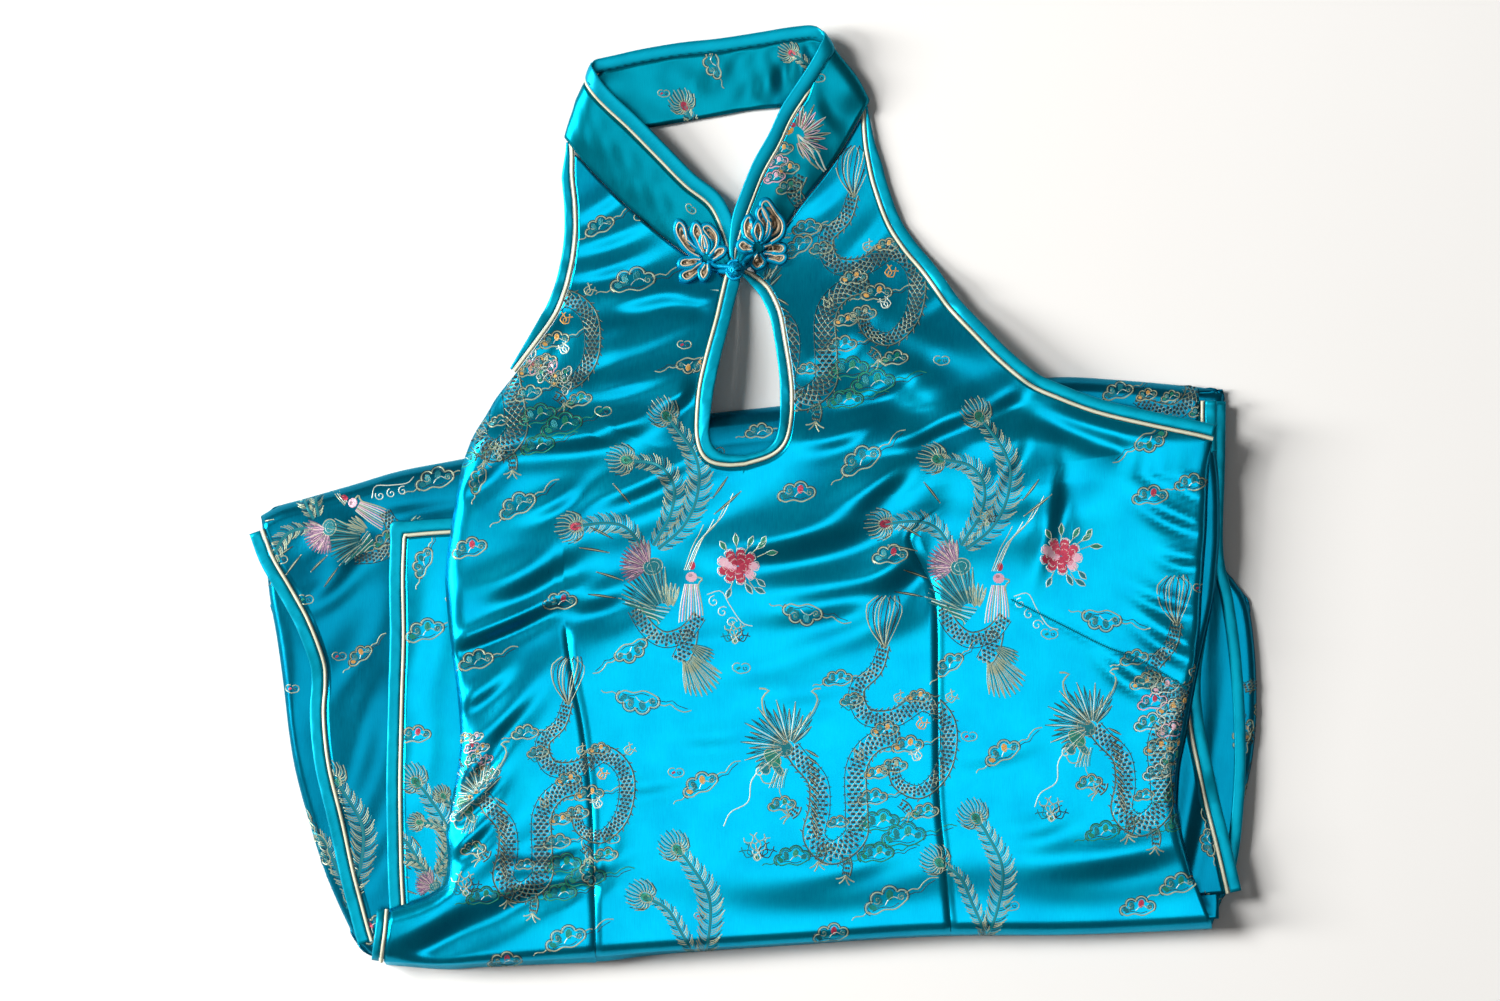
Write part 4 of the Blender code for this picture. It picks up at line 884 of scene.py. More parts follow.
rightPetals = [
    [
        (760, 243), (768, 236), (770, 226), (764, 214), (761, 203), (767, 199), (775, 209), (784, 222),
        (782, 235), (771, 243),
    ],
    [(754, 243), (745, 236), (743, 224), (749, 215), (753, 225), (757, 239)],
    [(757, 241), (753, 231), (758, 221), (763, 231), (760, 241)],
    [(759, 240), (763, 228), (757, 213), (762, 206), (769, 218), (768, 231), (762, 240)],
    [(753, 246), (743, 240), (738, 245), (743, 251), (753, 250)],
    [(763, 246), (774, 242), (785, 245), (782, 252), (765, 251)],
    [(757, 252), (751, 261), (757, 268), (765, 262), (760, 252)],
    [(763, 252), (774, 253), (786, 255), (781, 262), (767, 258)],
]


def makeFrog(name, petals, node, cover):
    tubes, edges, hollowShadePads = [], [], []
    for k, petal in enumerate(petals):
        line = smoothLine([atPhoto(*spot) for spot in petal], 46)
        base = np.array([cover.at(x, y)[0] for x, y in line])
        base = np.convolve(np.pad(base, 7, mode="edge"), np.ones(15) / 15, mode="valid")
        base = np.maximum(base, np.median(base) - 0.6) + frogs["lift"] + 0.22 * (k % 3)
        tubes.append(np.column_stack([line, base]))
        middle = line.mean(axis=0)
        inward = middle - line
        inward /= np.linalg.norm(inward, axis=1)[:, None]
        edges.append(np.column_stack([line + inward * frogs["rim"], base + frogs["rim"]]))  # pale inner rim
        # brown pads under the middle of each petal, painted shade of its hollow over a tan backing
        for share in (0.4, 0.75):
            hollowShadePads.append(np.column_stack([line + (middle - line) * share, base - 0.7]))
    makeCords(name, tubes, frogs["tube"], frogCloth, [node])
    makeCords(name + "Edges", edges, frogs["edge"], beigeCord)
    makeCords(name + "HollowShade", hollowShadePads, frogs["hollowShadeRadius"], shadowCloth)


def makeFastening():
    cover = Cover(sheets)
    makeFrog("frogLeft", leftPetals, "frog_left", cover)
    makeFrog("frogRight", rightPetals, "frog_right", cover)
    ballX, ballY = atPhoto(735.5, 270)
    low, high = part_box("knot_button")
    ballZ = (low[2] + high[2]) / 2 / mm
    strands = []
    turn = np.linspace(0, 2 * math.pi, 40, endpoint=False)
    for tiltX, tiltZ, shift in (
        (0.35, 0.0, 0.9), (0.35, 0.0, -0.9), (1.35, 0.6, 0.9), (1.35, 0.6, -0.9), (1.2, 2.1, 0.9),
        (1.2, 2.1, -0.9), (0.8, 1.3, 0.0), (1.0, 2.9, 0.0),
    ):
        ring = np.column_stack([frogs["knot"] * np.cos(turn), frogs["knot"] * np.sin(turn), 0 * turn + shift])
        ring[:, 2] += 0.35 * np.sin(3 * turn)
        cosX, sinX, cosZ, sinZ = math.cos(tiltX), math.sin(tiltX), math.cos(tiltZ), math.sin(tiltZ)
        ring = ring @ np.array([[1, 0, 0], [0, cosX, sinX], [0, -sinX, cosX]])
        ring = ring @ np.array([[cosZ, sinZ, 0], [-sinZ, cosZ, 0], [0, 0, 1]])
        strands.append(ring + [ballX, ballY, ballZ])
    makeCords("knotStrands", strands, frogs["strand"], frogCloth, ["knot_button"], closed=True)
    bm = bmesh.new()
    bmesh.ops.create_icosphere(bm, subdivisions=3, radius=frogs["core"] * mm)
    bmesh.ops.translate(bm, verts=bm.verts, vec=(ballX * mm, ballY * mm, ballZ * mm))
    putPiece("knotCore", meshOf("knotCore", bm), [frogCloth])
    straps = []
    for spots, sides in (
        ([(706, 262), (713, 266), (722, 268), (730, 269)], (-1.35, 1.35)),
        ([(758, 252), (751, 258), (745, 264), (740, 268)], (-1.35, 1.35)),
    ):
        line = smoothLine([atPhoto(*spot) for spot in spots], 24)
        for side in sides:
            moved = movedLeft(line, side)
            ground = np.array([cover.at(x, y)[0] for x, y in moved])
            ground = np.interp(np.arange(24), [0, 12, 23], [ground[0] + 1.6, ground[8:16].mean() + 1.8, ballZ])
            straps.append(np.column_stack([moved, ground]))
    makeCords("frogStraps", straps, frogs["strap"], frogCloth)
    spots = [(744, 263), (741, 275), (733, 279), (727, 272), (730, 262), (738, 260)]
    loop = smoothLine([atPhoto(*spot) for spot in spots], 40)
    height = ballZ + 1.4 * np.sin(np.linspace(0, math.pi * 2, 40))
    makeCords("buttonLoop", [np.column_stack([loop, height - 0.6])], frogs["loop"], frogCloth)


makeFastening()
print("stage: frogs tied")


# brocade: each motif is a list of threads, and each thread has plan points in millimetres, a width and a colour
def bent(points, steps=None):
    points = np.array(points, float)
    length = np.linalg.norm(np.diff(points, axis=0), axis=1).sum()
    return smoothLine(points, steps or max(4, int(length / 1.3)))


def heading(angle):
    return np.array([math.cos(math.radians(angle)), math.sin(math.radians(angle))])


def sew(made, width, colour, points, steps=None):  # adds one bent thread
    made.append((bent(points, steps), width, colour))


def arcOf(x, y, wide, tall, start, end, turn=0.0, steps=9):
    angle = np.radians(np.linspace(start, end, steps))
    px, py = wide * np.cos(angle), tall * np.sin(angle)
    cosT, sinT = math.cos(math.radians(turn)), math.sin(math.radians(turn))
    return np.column_stack([x + px * cosT - py * sinT, y + px * sinT + py * cosT])


def spiral(x, y, radius, start, turns=1.3, steps=14):
    share = np.linspace(0, 1, steps)
    angle = math.radians(start) + share * turns * 2 * math.pi
    reach = radius * (1 - 0.85 * share)
    return np.column_stack([x + reach * np.cos(angle), y + reach * np.sin(angle)])


def filled(x, y, wide, tall, colour, turn=0.0, gap=0.6):  # a small oval of threads side by side
    made = []
    count = max(2, int(2 * tall / gap))
    cosT, sinT = math.cos(math.radians(turn)), math.sin(math.radians(turn))
    for share in (np.arange(count) + 0.5) / count * 2 - 1:
        half = wide * math.sqrt(1 - share * share)
        ends = np.array([(-half, share * tall), (0, share * tall + 0.1), (half, share * tall)])
        made.append((ends @ np.array([[cosT, sinT], [-sinT, cosT]]) + [x, y], gap * 1.05, colour))
    return made


def cloudMotif(accent="teal", tail=True):  # a drawn-out cloud of curls with a trailing wisp
    made = []
    curls = [
        (-9, -1.5, 3.0, 150, 1.1), (-5, 2.4, 3.4, 110, 1.1), (1.5, 3.6, 3.8, 80, 1.1), (7.2, 1.2, 3.0, 30, 1.1),
    ]
    for k, (x, y, size, facing, turns) in enumerate(curls):
        fill = accent if k == 2 or accent != "red" and k == 0 else "teal"
        made += filled(x * 0.92, y * 0.8, size * 0.7, size * 0.45, fill, facing)
        made.append((arcOf(x, y, size + 0.7, size + 0.7, facing - 84, facing + 98), 0.42, "dark"))
        made.append((arcOf(x, y, size, size, facing - 78, facing + 95), 0.75, "gold"))
        made.append((arcOf(x, y, size - 0.95, size - 0.95, facing - 70, facing + 86), 0.45, "dark"))
        if k % 2:
            made.append((spiral(x - 0.3, y - 0.6, size * 0.62, facing + 95, turns, 12), 0.5, "gold"))
    sew(made, 0.75, "gold", [(-12, -2.5), (-8, -4.8), (-3, -3.6), (2, -4.6), (6, -3.2), (10, -0.8)])
    sew(made, 0.42, "dark", [(-9, -3.2), (-4, -2.2), (1, -3.2), (5, -2.0)])
    made += filled(-4.6, -0.8, 2.0, 0.7, "teal", 20)
    sew(made, 0.45, "pale", [(-2, -1.6), (0, 0.6), (3, 1.6), (5, 0.2)], 8)
    if tail:
        sew(made, 0.6, "gold", [(9, 2), (13, 3.2), (16, 2.4), (19, 4.8), (23, 6.4), (27, 5.6)])
        sew(made, 0.42, "dark", [(9.5, 0.4), (14, 1.2), (17, 0.6), (20, 3.0), (25, 4.8)])
        sew(made, 0.55, "gold", [(-11.5, -2.4), (-14, -4.2), (-18, -3.6), (-20, -5)])
    return made


def cloudBank(spots, tailedAbove=9.0):  # clouds at x, y, size, with the colours of their accent and rim
    made = []
    for x, y, size, accent, rim in spots:
        for points, width, colour in cloudMotif(accent, size > tailedAbove):
            made.append((points * size + [x, y], width, rim if colour == "gold" else colour))
    return made


def curlMotif(accent="green"):  # a small two-lobed curl
    made = [
        (arcOf(-2.4, 0.8, 3.0, 2.8, 60, 250), 0.55, "gold"),
        (arcOf(2.8, 0.4, 3.2, 3.0, -80, 140), 0.55, "gold"),
    ]
    sew(made, 0.55, "gold", [(-3.4, -1.8), (-1, -3.2), (1.6, -2.8), (3.4, -2.6)])
    made.append((spiral(2.8, 0.2, 1.7, 140, 1.1, 10), 0.45, "dark"))
    return made + filled(-1.6, 0.2, 1.5, 0.8, accent, 30)


def featherMotif(spine, eye="green", reach=8.6):
    line = bent(spine)
    step = np.gradient(line, axis=0)
    step /= np.linalg.norm(step, axis=1)[:, None]
    made = [(line, 1.7, "teal"), (line, 0.6, "green")]
    count = int(np.linalg.norm(np.diff(line, axis=0), axis=1).sum() / 1.25)
    for k in range(count):
        share = (k + 0.5) / count
        spot = np.array([np.interp(share, np.linspace(0, 1, len(line)), line[:, j]) for j in (0, 1)])
        way = np.array([np.interp(share, np.linspace(0, 1, len(line)), step[:, j]) for j in (0, 1)])
        size = reach * (0.55 + 0.45 * math.sin(math.pi * min(1, share * 1.1)))
        size *= 0.85 + 0.3 * ((k * 7) % 5) / 5
        for side in (-1, 1):
            across = side * np.array([-way[1], way[0]])
            out = 0.92 * across + 0.35 * way
            tip = spot + size * (0.86 * across + 0.62 * way)
            colour = ("gold", "dark", "gold", "teal", "gold")[(2 * k + (side > 0)) % 5]
            sew(made, 0.5, colour, [spot + 1.1 * across, spot + 0.55 * size * out, tip], 5)
    tipX, tipY = line[-1]
    facing = math.degrees(math.atan2(step[-1, 1], step[-1, 0]))
    for k in range(31):  # barbs round the eye lean towards the tip
        turn = -150 + 300 * k / 30
        angle = math.radians(facing + turn)
        near = np.array([tipX + 3.2 * math.cos(angle), tipY + 3.2 * math.sin(angle)])
        size = 6.2 + 2.6 * math.cos(math.radians(turn * 0.5)) + 0.9 * ((k * 5) % 3 - 1)
        out = heading(facing + turn * 0.8)
        far = near + size * heading(facing + turn * 0.45)
        sew(made, 0.5, ("gold", "dark", "gold", "teal")[k % 4], [near, near + size * 0.5 * out, far], 5)
    made += filled(tipX, tipY, 2.3, 3.2, eye, facing - 90)
    made += filled(tipX - 0.3, tipY, 0.9, 1.3, "dark", facing - 90)
    made.append((arcOf(tipX, tipY, 3.9, 3.0, 0, 360, facing, 16), 0.55, "gold"))
    return made


def plume(x, y, angle, length, width, outer="gold", inner="dark", bend=0.0):  # one long pointed feather
    way = heading(angle)
    across = np.array([-way[1], way[0]])
    start = np.array([x, y])
    made = []
    for side, colour in ((-1, outer), (1, outer), (0, inner)):
        middle = start + way * length * 0.55 + across * (side * width + bend * length * 0.5)
        tip = start + way * length + across * bend * length
        sew(made, 0.5 if side else 0.6, colour, [start, middle, tip], 6)
    return made


def fan(x, y, start, end, count, length, outer, inner, width=0.9, bend=0.1):
    made = []
    for k in range(count):
        share = k / (count - 1)
        size = length * (0.74 + 0.26 * math.sin(math.pi * (0.2 + 0.7 * share)))
        angle = start + (end - start) * share
        root = np.array([x, y]) + 0.24 * size * heading(angle)
        made += plume(*root, angle, size * 0.76, width, outer, inner if k % 3 else "gold", bend)
    return made


def scaled(spine, widest, belly=True, spikes=True, narrow=0.35):  # a scaled body along a curve
    line = bent(spine)
    count = len(line)
    share = np.linspace(0, 1, count)
    half = widest * (narrow + (1 - narrow) * np.sin(np.pi * np.clip(0.12 + 0.8 * share, 0, 1)))
    left, right = movedLeft(line, half), movedLeft(line, -half)
    made = [(left, 0.5, "bronze"), (right, 0.5, "dark"), (movedLeft(line, half + 0.5), 0.4, "dark")]
    step = np.gradient(line, axis=0)
    step /= np.linalg.norm(step, axis=1)[:, None]
    length = np.linalg.norm(np.diff(line, axis=0), axis=1).sum()
    rows = int(length / 2.3)
    for k in range(rows):
        at = (k + 0.5) / rows * (count - 1)
        j = min(int(at), count - 2)
        spot = line[j] + (line[j + 1] - line[j]) * (at - j)
        way, across, wide = step[j], np.array([-step[j][1], step[j][0]]), half[j]
        for cell in ((-0.6, 0.0, 0.6) if k % 2 else (-0.3, 0.3)):
            middle = spot + across * wide * cell
            size = wide * 0.36
            near, far = middle - across * size - way * 0.5, middle + across * size - way * 0.5
            scale = [near, middle + way * size * 1.1, far]
            made.append((np.array([middle - across * size * 0.5, middle + across * size * 0.5]), 1.5, "dark"))
            sew(made, 0.36, "gold" if (k // 5) % 2 else "bronze", scale, 5)
        if spikes and k % 2 == 0:
            root = spot + across * wide
            tip = root + across * 2.1 + way * 1.5
            made.append((np.array([root - way, tip]), 0.4, "bronze"))
            made.append((np.array([root + way * 0.4, tip]), 0.34, "dark"))
        if belly and k % 2 == 1:
            rib = spot - across * wide
            made.append((np.array([rib, rib - across * 1.1 + way * 0.4]), 0.6, "teal"))
    return made


def claw(x, y, angle, size=6.0):
    made = []
    for k, turn in enumerate((-48, -16, 16, 48)):
        way = math.radians(angle + turn)
        middle = np.array([x + size * 0.55 * math.cos(way), y + size * 0.55 * math.sin(way)])
        hook = way + (0.5 if k > 1 else -0.5)
        tip = middle + size * 0.5 * np.array([math.cos(hook), math.sin(hook)])
        made.append((np.array([(x, y), middle, tip]), 0.75, "gold"))
        made.append(
            (
                np.array([(x, y), middle * 0.98 + np.array([x, y]) * 0.02, tip * 0.9 + middle * 0.1]), 0.36,
                "dark",
            ),
        )
    return made


def flames(x, y, angle, colour, count=4, size=7.0):
    made = []
    for k in range(count):
        way = angle + (k - (count - 1) / 2) * 22
        a, b = math.cos(math.radians(way)), math.sin(math.radians(way))
        wave = 0.22 * size * (1 if k % 2 else -1)
        points = [
            (x, y), (x + a * size * 0.4 - b * wave, y + b * size * 0.4 + a * wave),
            (x + a * size * 0.75 + b * wave * 0.6, y + b * size * 0.75 - a * wave * 0.6),
            (x + a * size, y + b * size),
        ]
        sew(made, 0.65, colour, points, 7)
    return made


def phoenixMotif():
    made = featherMotif([(2, 4), (17, 18), (25, 38), (23, 58), (7, 80)], "green")
    made += featherMotif([(-1, 6), (9, 24), (11, 40), (2, 52), (-16, 55)], "green", 7.6)
    made += featherMotif([(-6, 4), (-16, 16), (-28, 19), (-45, 17)], "red", 7.0)
    for x, y, angle, size in (
        (-26, 2, 158, 17), (-24, 10, 140, 14), (34, 24, 28, 20), (33, 33, 42, 15), (-14, 30, 118, 15),
        (-18, -14, 150, 16), (-22, -24, 160, 16),
    ):
        made += plume(x, y, angle, size, 0.6, "dark", "gold", 0.22)
    for k in range(9):  # the wing's smooth cover
        row = [(-19 + 2.0 * k, -25 - 1.3 * k), (-5 + 0.8 * k, -29 - 1.0 * k), (9 - 0.9 * k, -31 - 1.1 * k)]
        sew(made, 0.62, ("teal", "pale", "green")[k % 3], row, 8)
    sew(made, 0.5, "gold", [(-21, -24), (-6, -27.5), (9, -30)], 9)
    made += fan(6, -34, 86, 160, 15, 31, "teal", "dark", 0.85, 0.10)
    made += fan(9, -32, 66, 112, 6, 17, "gold", "teal", 0.8, 0.10)
    made += fan(-3, -7, 88, 208, 17, 18, "plum", "plum", 0.7)
    made += fan(-3, -7, 92, 200, 9, 16, "pink", "dark", 0.6)
    made += filled(-1, -6, 5.2, 4.2, "teal", 20)
    made.append((arcOf(-1, -6, 5.7, 4.7, 0, 360, 20, 16), 0.55, "gold"))
    made.append((arcOf(-1, -6, 3.6, 2.8, 0, 360, 20, 12), 0.4, "pale"))
    made += scaled([(-12, -30), (-4, -42), (6, -48), (18, -44), (26, -34)], 4.4, False, False, 0.8)
    made += scaled([(20, -42), (18, -52), (14, -60)], 5.0, False, False, 0.9)
    made += fan(15, -54, -24, -78, 10, 30, "gold", "teal", 0.9, -0.12)
    made += fan(18, -50, -10, -46, 6, 18, "teal", "gold", 0.9, -0.1)
    for k in range(9):  # breast and neck
        sew(
            made, 0.75, ("pale", "pink", "gold")[k % 3],
            [(14 + 1.7 * k, -38 + 0.5 * k), (15 + 1.5 * k, -28), (17.4 + 0.9 * k, -16)], 7,
        )
    made += filled(21, -12, 3.2, 2.8, "pink")
    made += filled(20.4, -11, 1.2, 0.9, "dark")
    sew(made, 0.85, "gold", [(24, -12), (27.6, -13), (25.6, -15), (24.4, -19)], 8)
    made += filled(21.5, -5.4, 1.7, 2.4, "red")
    for k, (dx, dy) in enumerate(((9, 15), (15, 18), (21, 25), (26, 33))):
        sew(
            made, 0.5, "pale" if k % 2 else "gold",
            [(17 + k, -8), (18 + dx * 0.4, dy * 0.35), (18 + dx * 0.8, dy * 0.6 + 3), (19 + dx, dy + 3)], 12,
        )
    for k in range(3):
        made.append((spiral(34 + 5 * k, -26 - 6 * k, 3.4, 90 - 40 * k, 1.2), 0.55, "pale"))
    sew(made, 0.55, "pale", [(30, -22), (38, -20), (43, -28), (50, -38), (56, -40)], 16)
    return made


def peonyMotif():
    made = []
    for x, y, angle, size in (
        (-8, 11, 125, 8), (-1, 14, 95, 9), (7, 13, 66, 9), (13, 12, 40, 9), (19, 9, 5, 9), (16, 15, 60, 7),
        (5, -12, -55, 9), (11, -15, -25, 9), (-5, -15, -110, 8), (13, -9, -40, 8),
    ):
        way = heading(angle)
        leafX, leafY = x + 0.48 * size * way[0], y + 0.48 * size * way[1]
        made += filled(leafX, leafY, size * 0.42, 1.3, "green" if angle > 0 else "teal", angle)
        made += plume(x, y, angle, size, 1.9, "pale", "dark")
        made.append((np.array([(x * 0.7, y * 0.7), (x, y)]), 0.5, "gold"))
    for ring, (count, reach, size) in enumerate(((9, 9.6, 3.9), (7, 6.2, 3.6), (5, 3.0, 2.8))):
        for k in range(count):
            angle = 2 * math.pi * (k + 0.4 * ring) / count
            x, y = 1.1 * reach * math.cos(angle), 0.9 * reach * math.sin(angle)
            turn = math.degrees(angle)
            made += filled(x, y, size * 0.85, size * 0.8, "red" if (k + ring) % 4 else "pink", turn, 0.75)
            for side in (-34, 0, 34):  # frilled rim
                rimX = x + size * 0.72 * math.cos(math.radians(turn + side))
                rimY = y + size * 0.72 * math.sin(math.radians(turn + side))
                frill = arcOf(rimX, rimY, size * 0.42, size * 0.42, turn + side - 95, turn + side + 95, 0, 6)
                made.append((frill, 0.5, "pale" if side else "pink"))
    return made


def dragonMotif():
    rear = [
        (24, 62), (19, 48), (8, 36), (13, 21), (30, 20), (47, 29), (60, 16), (58, -8), (45, -22), (32, -17),
        (29, -4),
    ]
    fore = [
        (34, 10), (18, 6), (8, -8), (8, -34), (7, -48), (-6, -57), (-16, -48), (-13, -32), (-14, -16),
        (-24, -4), (-29, 3),
    ]
    made = scaled(rear, 5.0)
    made += scaled(fore, 6.4, True, True, 0.62)
    for k, bend in enumerate((-9, -5, -1.5, 3, 7, 10)):  # the tuft of the tail
        sew(
            made, 0.7, "dark" if k % 2 else "gold",
            [(24, 60), (22 + bend * 0.7, 72), (23 + bend, 84), (26 + bend * 0.6, 90)], 10,
        )
        sew(
            made, 0.42, "gold" if k % 2 else "dark",
            [(25, 60), (23 + bend * 0.8, 72), (24.6 + bend, 83), (25 + bend * 0.4, 89)], 10,
        )
    for k in range(25):  # mane
        angle = 36 + 184 * k / 24
        way = math.radians(angle)
        size = 14 + 6 * math.sin(math.pi * k / 24) + 2.4 * (k % 3)
        colours = (("dark", "gold"), ("teal", "dark"), ("teal", "pale"))[k % 3]
        made += plume(-31 + 4 * math.cos(way), 3 + 4 * math.sin(way), angle, size, 1.0, *colours, 0.14)
    for k in range(12):  # hackles down the neck
        made += plume(-21 + 0.3 * k, 2 - 4 * k, -20 - 3 * k, 8.5, 0.7, "dark", "gold", -0.2)
    for tipX, sway in ((-46, -4), (-14, 4)):  # horns
        sew(
            made, 1.0, "gold",
            [(-33, 8), ((-33 + tipX) / 2 + sway, 20), (tipX, 31), (tipX - sway, 36), (tipX + sway * 0.4, 37)],
            14,
        )
        sew(made, 0.42, "dark", [(-32, 8), ((-32 + tipX) / 2 + 1 + sway, 20), (tipX + 1.2, 30)], 9)
    for x, y, wide, tall, turn, colour in (
        (-34, 3, 5.4, 4.2, -30, "teal"), (-40, -3, 5.6, 3.4, -48, "green"), (-44.5, -9, 3.2, 2.4, -50, "teal"),
        (-37, -9, 4.6, 1.6, -52, "teal"),
    ):
        made += filled(x, y, wide, tall, colour, turn)
        made.append((arcOf(x, y, wide + 0.4, tall + 0.4, 0, 360, turn, 16), 0.55, "gold"))
    for x, y in ((-36.5, 2.4), (-33, 6.0)):
        made += filled(x, y, 1.7, 1.3, "orange")
        made += filled(x, y, 0.6, 0.6, "dark")
    made.append((spiral(-47, -11, 3.2, 60, 1.1), 0.7, "pale"))
    sew(made, 0.7, "gold", [(-36, -12), (-40, -17), (-45, -17), (-47, -13)], 10)
    for k in range(8):  # beard
        sew(made, 0.5, "teal" if k % 2 else "gold", [(-38 + k, -9), (-40 + k, -15), (-42 + 1.2 * k, -20)], 6)
    sew(made, 0.65, "pale", [(-44, -6), (-52, -16), (-54, -28), (-64, -34), (-68, -42)], 22)
    sew(made, 0.5, "gold", [(-34, -12), (-36, -22), (-31, -30)], 10)
    for x, y, angle in ((38, -34, -70), (-14, -62, -80), (-30, -36, 170), (2, -70, -100)):
        made += scaled([(x * 0.86, y * 0.84), (x * 0.93 + 1, y * 0.92), (x, y)], 2.4, False, False, 0.8)
        made += claw(x, y, angle)
    for x, y, angle, colour in (
        (30, 30, 30, "gold"), (44, 14, 60, "orange"), (6, 26, 150, "teal"), (10, -4, 100, "gold"),
        (44, -4, 120, "pale"), (60, 30, 40, "gold"), (0, -60, -60, "teal"),
    ):
        made += flames(x, y, angle, colour)
    return made + cloudBank([
        (38, 4, 0.8, "orange", "gold"), (25, 13, 0.7, "orange", "gold"), (22, -40, 1.0, "green", "green"),
        (36, -48, 1.1, "green", "green"), (20, -58, 0.9, "green", "green"), (-2, 42, 0.75, "teal", "gold"),
        (18, -26, 0.75, "teal", "gold"), (30, -8, 0.7, "gold", "gold"), (-2, -40, 0.55, "teal", "gold"),
        (-28, -60, 0.9, "green", "green"), (44, 32, 0.6, "orange", "gold"), (20, -12, 0.6, "orange", "gold"),
        (48, -34, 0.7, "green", "gold"), (6, 30, 0.6, "teal", "gold"), (-34, -30, 0.7, "green", "gold"),
    ], 0.7)


def maneMotif():  # a maned head and its clouds, cut off by the collar's edge
    made = []
    for k in range(19):
        angle = -92 + 164 * k / 18
        way = math.radians(angle)
        colours = (("gold", "dark"), ("pink", "dark"), ("dark", "gold"), ("pale", "red"))[k % 4]
        made += plume(5 * math.cos(way), 5 * math.sin(way), angle + 8, 10 + 3 * (k % 3), 0.9, *colours, 0.2)
    for bow, reach, colour in ((4, 30, "pale"), (0, 26, "pale"), (-5, 22, "gold")):
        sew(
            made, 0.95, colour,
            [(1, 0), (7 + bow, -0.35 * reach), (11 + bow, -0.75 * reach), (16 + bow, -reach)],
        )
    made += filled(-4, 3, 3.2, 2.2, "orange", 20) + filled(-1, 6, 1.8, 1.4, "red")
    made += cloudBank([
        (-9, -8, 0.62, "orange", "gold"), (-13, -15, 0.6, "pink", "pink"), (-7, -20, 0.62, "orange", "gold"),
        (-16, -24, 0.6, "pink", "pink"), (-8, -31, 0.7, "green", "gold"),
    ])
    return made + scaled([(0, -24), (-6, -34), (-2, -44), (-8, -54)], 4.2, False, False, 0.8)


def coilMotif():  # part of a dragon's body with its clouds
    made = scaled([(-20, 5), (-9, -3), (4, -7), (14, -1), (18, 9), (12, 18)], 5.0)
    return made + cloudBank([
        (-12, 6, 0.6, "orange", "gold"), (3, 3, 0.55, "green", "gold"), (20, -9, 0.6, "green", "gold"),
    ])


def brightMotif():  # a bank of clouds in gold, pink and green
    return cloudBank([
        (-6, 30, 0.8, "orange", "gold"), (7, 26, 0.8, "pink", "pale"), (-2, 17, 0.85, "red", "pink"),
        (9, 12, 0.8, "orange", "pale"), (-5, 4, 0.9, "green", "pale"), (8, -2, 0.8, "pink", "pink"),
        (-1, -12, 0.85, "orange", "gold"), (9, -20, 0.9, "green", "pale"), (-4, -28, 0.8, "teal", "pale"),
    ])


def fireMotif():
    made = flames(0, 0, 90, "gold", 5, 12) + flames(-3, -3, 130, "teal", 4, 9)
    made += flames(3, -3, 50, "dark", 4, 10)
    made += flames(0, -6, 90, "pale", 3, 7)
    made.append((spiral(0, -4, 3.4, 0, 1.2), 0.6, "gold"))
    return made + filled(0, -4, 1.4, 1.2, "green")


def twoFeathers():
    tall = featherMotif([(0, -60), (8, -38), (10, -14), (0, 6), (-6, 14)])
    return tall + featherMotif([(6, -60), (-6, -36), (-14, -20), (-26, -12)], "green", 5.2)


